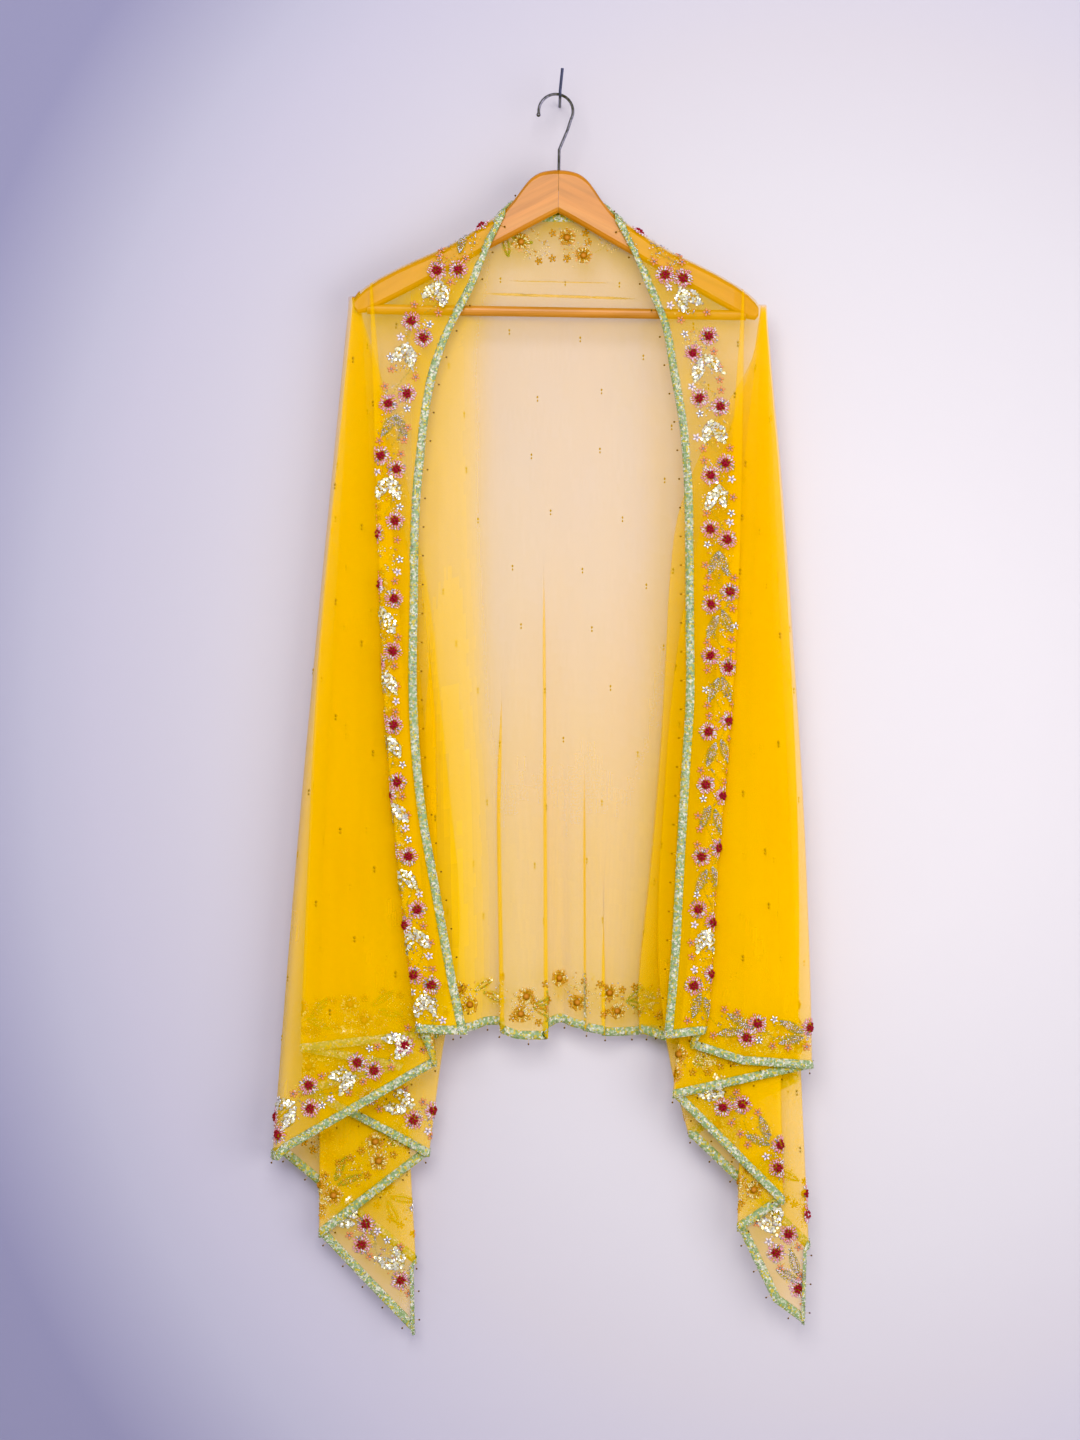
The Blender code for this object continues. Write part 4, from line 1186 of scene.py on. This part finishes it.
embroidery_materials = [principled(*look)[0] for look in (
    ("bead_pink", (0.72, 0.30, 0.40), 0.45),
    ("bead_white", (0.76, 0.66, 0.72), 0.4),
    ("bead_dark_red", (0.27, 0.001, 0.06), 0.55),
    ("bead_peach", (0.66, 0.24, 0.13), 0.45),
    ("bead_silver", (0.80, 0.79, 0.80), 0.2, 0.6),
    ("bead_lilac", (0.30, 0.27, 0.36), 0.28, 0.3),
    ("thread_olive", (0.30, 0.31, 0.10), 0.55),
    ("sequin_gold", (0.84, 0.72, 0.34), 0.22, 0.6),
    ("sequin_pearl", (0.84, 0.83, 0.68), 0.16, 0.8),
    ("sequin_cream", (0.62, 0.60, 0.40), 0.3, 0.2),
    ("wrong_side_gold", (0.62, 0.27, 0.03), 0.6),
    ("wrong_side_amber", (0.50, 0.18, 0.03), 0.6),
    ("wrong_side_olive", (0.40, 0.36, 0.04), 0.6),
    ("wrong_side_light", (0.86, 0.70, 0.30), 0.45),
)]
embroidery_materials[RED].node_tree.nodes["Principled BSDF"].inputs[
    "Specular IOR Level"].default_value = 0.12
hem_middle = hem_band.length / 2
borders = []
for name, band, start, end, sequin_share, hanging in (
    ("left_front", left_band, BORDER_START, left_band.length - BORDER_STOP,
     lambda q: 0.25 + 0.75 * ease(q, 0.25, 0.55), ()),
    ("right_front", right_band, BORDER_START, right_band.length - BORDER_STOP,
     lambda q: 0.95 - 0.75 * ease(q, 0.30, 0.52), ()),
    ("hem_left", hem_band, HEM_MARGIN, hem_middle, lambda q: 0.6, hanging_edges),
    ("hem_right", hem_band, hem_middle, hem_band.length - HEM_MARGIN, lambda q: 0.45,
     hanging_edges),
    ("neck", neck_band, neck_start, neck_end, lambda q: 0.0, ()),
):
    border = Batch("embroidery_" + name, embroidery_materials)
    embroider(border, band, start, end, sequin_share, hanging)
    borders.append(border)

dark_bead = principled("bead_bronze", (0.12, 0.035, 0.02), 0.25, 0.3)[0]
loop_thread = principled("loop_thread", (0.70, 0.42, 0.08), 0.6)[0]
picot_beads = Batch("picot_beads", [dark_bead, loop_thread])
for band, start, end, hanging in (
    (left_band, BORDER_START, left_band.length, ()),
    (right_band, BORDER_START, right_band.length, ()),
    (hem_band, 0.0, hem_band.length, hanging_edges),
    (neck_band, neck_start, neck_end, ()),
):
    picots(picot_beads, band, start, end, hanging)
field = Batch("field_beads", [principled("bead_buti", (0.32, 0.19, 0.03), 0.35, 0.3)[0]])
butis(field, sheet)

sewn = [batch.build()
        for batch in (trim_beads_front, trim_beads_hem, *borders, picot_beads, field)]
for piece in sewn:
    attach(piece, "root")
    print("sewn", piece.name, len(piece.data.polygons))

# Hanger and wall hook

# The arms' tones are the bar's wood made darker: painted shade that holds back the brighter light
# falling on the arms, which face the lamps.
ARM_TONES_PAINTED_SHADE = ((0.42, 0.132, 0.013), (0.535, 0.182, 0.021), (0.60, 0.228, 0.034))
BAR_TONES = ((0.43, 0.15, 0.024), (0.545, 0.205, 0.036), (0.61, 0.255, 0.056))
for node, material in (
    ("hanger_arm_left", wood_material("wood_left_arm", -ARM_SLANT, 0.12, ARM_TONES_PAINTED_SHADE)),
    ("hanger_arm_right", wood_material("wood_right_arm", ARM_SLANT, 0.12, ARM_TONES_PAINTED_SHADE)),
    ("hanger_bar", wood_material("wood_bar", 0.0, 0.25, BAR_TONES)),
    ("hanger_hook", metal_material("hook_wire", (0.05, 0.05, 0.08), (0.20, 0.19, 0.23), 0.3,
                                   0.8)),
    ("wall_hook", metal_material("wall_hook_paint", (0.02, 0.025, 0.09), (0.04, 0.045, 0.13),
                                 0.4, 0.3)),
):
    piece = bpy.data.objects[node]
    piece.data.materials.clear()
    piece.data.materials.append(material)

bpy.ops.mesh.primitive_uv_sphere_add(segments=16, ring_count=10, radius=HOOK_BALL_RADIUS,
                                     location=HOOK_BALL)
hook_ball = bpy.context.active_object
hook_ball.name = "hook_ball"
hook_ball.data.materials.append(bpy.data.materials["hook_wire"])
hook_ball.data.shade_smooth()
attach(hook_ball, "root")

# Room, light and camera


def stage_plane(name, size, location, rotation, material):
    bpy.ops.mesh.primitive_plane_add(size=size, location=location, rotation=rotation)
    plane = bpy.context.active_object
    plane.name = name
    plane.data.materials.append(material)
    return plane


def wall_with_painted_light_material():
    """Pale paint with a painted pool of light at a spot right of the middle, and painted shade
    that darkens it towards violet away from that spot.

    The wall is solid only from the room's side, so that it doesn't hide the back of the stole.
    """
    material, tree, shader = principled("pale_wall_painted_light", roughness=0.9)
    place = own_place(tree)
    mapping = add_node(tree, "ShaderNodeMapping")
    mapping.inputs["Location"].default_value = (-PAINTED_LIGHT_SPOT[0] / PAINTED_SHADE_SPREAD[0],
                                                -PAINTED_LIGHT_SPOT[1] / PAINTED_SHADE_SPREAD[1], 0.0)
    mapping.inputs["Scale"].default_value = (1 / PAINTED_SHADE_SPREAD[0], 1 / PAINTED_SHADE_SPREAD[1], 1.0)
    link(place, mapping.inputs["Vector"])
    distance = add_node(tree, "ShaderNodeVectorMath", operation="LENGTH")
    link(mapping.outputs["Vector"], distance.inputs[0])
    # The ramp paints light near the spot and shade further off, over the wall's pale colour.
    link(ramp(tree, distance.outputs["Value"], WALL_PAINTED_LIGHT_AND_SHADE), shader.inputs["Base Color"])
    side = tree.nodes.new("ShaderNodeNewGeometry")
    clear = tree.nodes.new("ShaderNodeBsdfTransparent")
    either = tree.nodes.new("ShaderNodeMixShader")
    link(side.outputs["Backfacing"], either.inputs["Fac"])
    link(shader.outputs["BSDF"], either.inputs[1])
    link(clear.outputs["BSDF"], either.inputs[2])
    link(either.outputs["Shader"], tree.nodes["Material Output"].inputs["Surface"])
    return material


# Where the painted pool of light sits and how far the painted shade spreads; the colours run from
# painted light at the spot to painted shade at the far edges.
PAINTED_LIGHT_SPOT = (0.291, -0.67)
PAINTED_SHADE_SPREAD = (1.08, 1.30)
WALL_PAINTED_LIGHT_AND_SHADE = (
    (0.0, (0.645, 0.617, 0.655)), (0.2, (0.637, 0.608, 0.648)), (0.45, (0.575, 0.55, 0.60)),
    (0.575, (0.53, 0.50, 0.56)), (0.63, (0.505, 0.48, 0.56)), (0.74, (0.455, 0.435, 0.54)),
    (0.80, (0.41, 0.40, 0.51)), (0.94, (0.235, 0.23, 0.36)),
)
wall_with_painted_light = wall_with_painted_light_material()
floor_paint, _, _ = principled("pale_floor", (0.62, 0.60, 0.62), 0.8)
stage_plane("backdrop", 9.0, (0.0, 0.001, 0.0), (math.pi / 2, 0.0, 0.0), wall_with_painted_light)
stage_plane("floor", 9.0, (0.0, 0.0, -1.75), (0.0, 0.0, 0.0), floor_paint)


def area_light(name, location, target, size, power, colour):
    data = bpy.data.lights.new(name, "AREA")
    data.shape = "RECTANGLE"
    data.size = size[0]
    data.size_y = size[1]
    data.energy = power
    data.color = colour
    light = bpy.data.objects.new(name, data)
    light.location = location
    aim = Vector(target) - Vector(location)
    light.rotation_euler = aim.to_track_quat("-Z", "Y").to_euler()
    bpy.context.scene.collection.objects.link(light)


area_light("key", (-0.35, -3.0, 0.6), (0.0, 0.0, -0.65), (1.8, 1.8), 69.0, (1.0, 0.98, 0.95))
area_light("fill", (1.9, -2.4, -0.9), (0.0, 0.0, -0.65), (2.2, 2.2), 46.0, (1.0, 0.97, 0.94))

world = bpy.context.scene.world or bpy.data.worlds.new("world")
bpy.context.scene.world = world
world.use_nodes = True
world.node_tree.nodes["Background"].inputs["Color"].default_value = (0.93, 0.93, 1.0, 1.0)
world.node_tree.nodes["Background"].inputs["Strength"].default_value = 0.55

VIEW_HEIGHT = 1.552
CAMERA_DISTANCE = 3.2
SENSOR_HEIGHT = 24.0
camera_data = bpy.data.cameras.new("camera")
camera_data.sensor_fit = "VERTICAL"
camera_data.sensor_height = SENSOR_HEIGHT
camera_data.lens = SENSOR_HEIGHT * CAMERA_DISTANCE / VIEW_HEIGHT
camera = bpy.data.objects.new("camera", camera_data)
camera.location = (-0.0216, HANGER_Y - CAMERA_DISTANCE, -0.6705)
camera.rotation_euler = (math.pi / 2, 0.0, 0.0)
bpy.context.scene.collection.objects.link(camera)
bpy.context.scene.camera = camera
view = bpy.context.scene.view_settings
view.view_transform = "Standard"

# The photograph is graded: its deep yellows hold next to no blue
BLUE_CURVE = ((0.032, 0.0035), (0.102, 0.055), (0.188, 0.155), (0.305, 0.305), (0.402, 0.42),
              (0.716, 0.72))
view.use_curve_mapping = True
blue = view.curve_mapping.curves[2]
for value, graded in BLUE_CURVE:
    blue.points.new(value, graded)
view.curve_mapping.update()
bpy.context.scene.cycles.transparent_max_bounces = 48
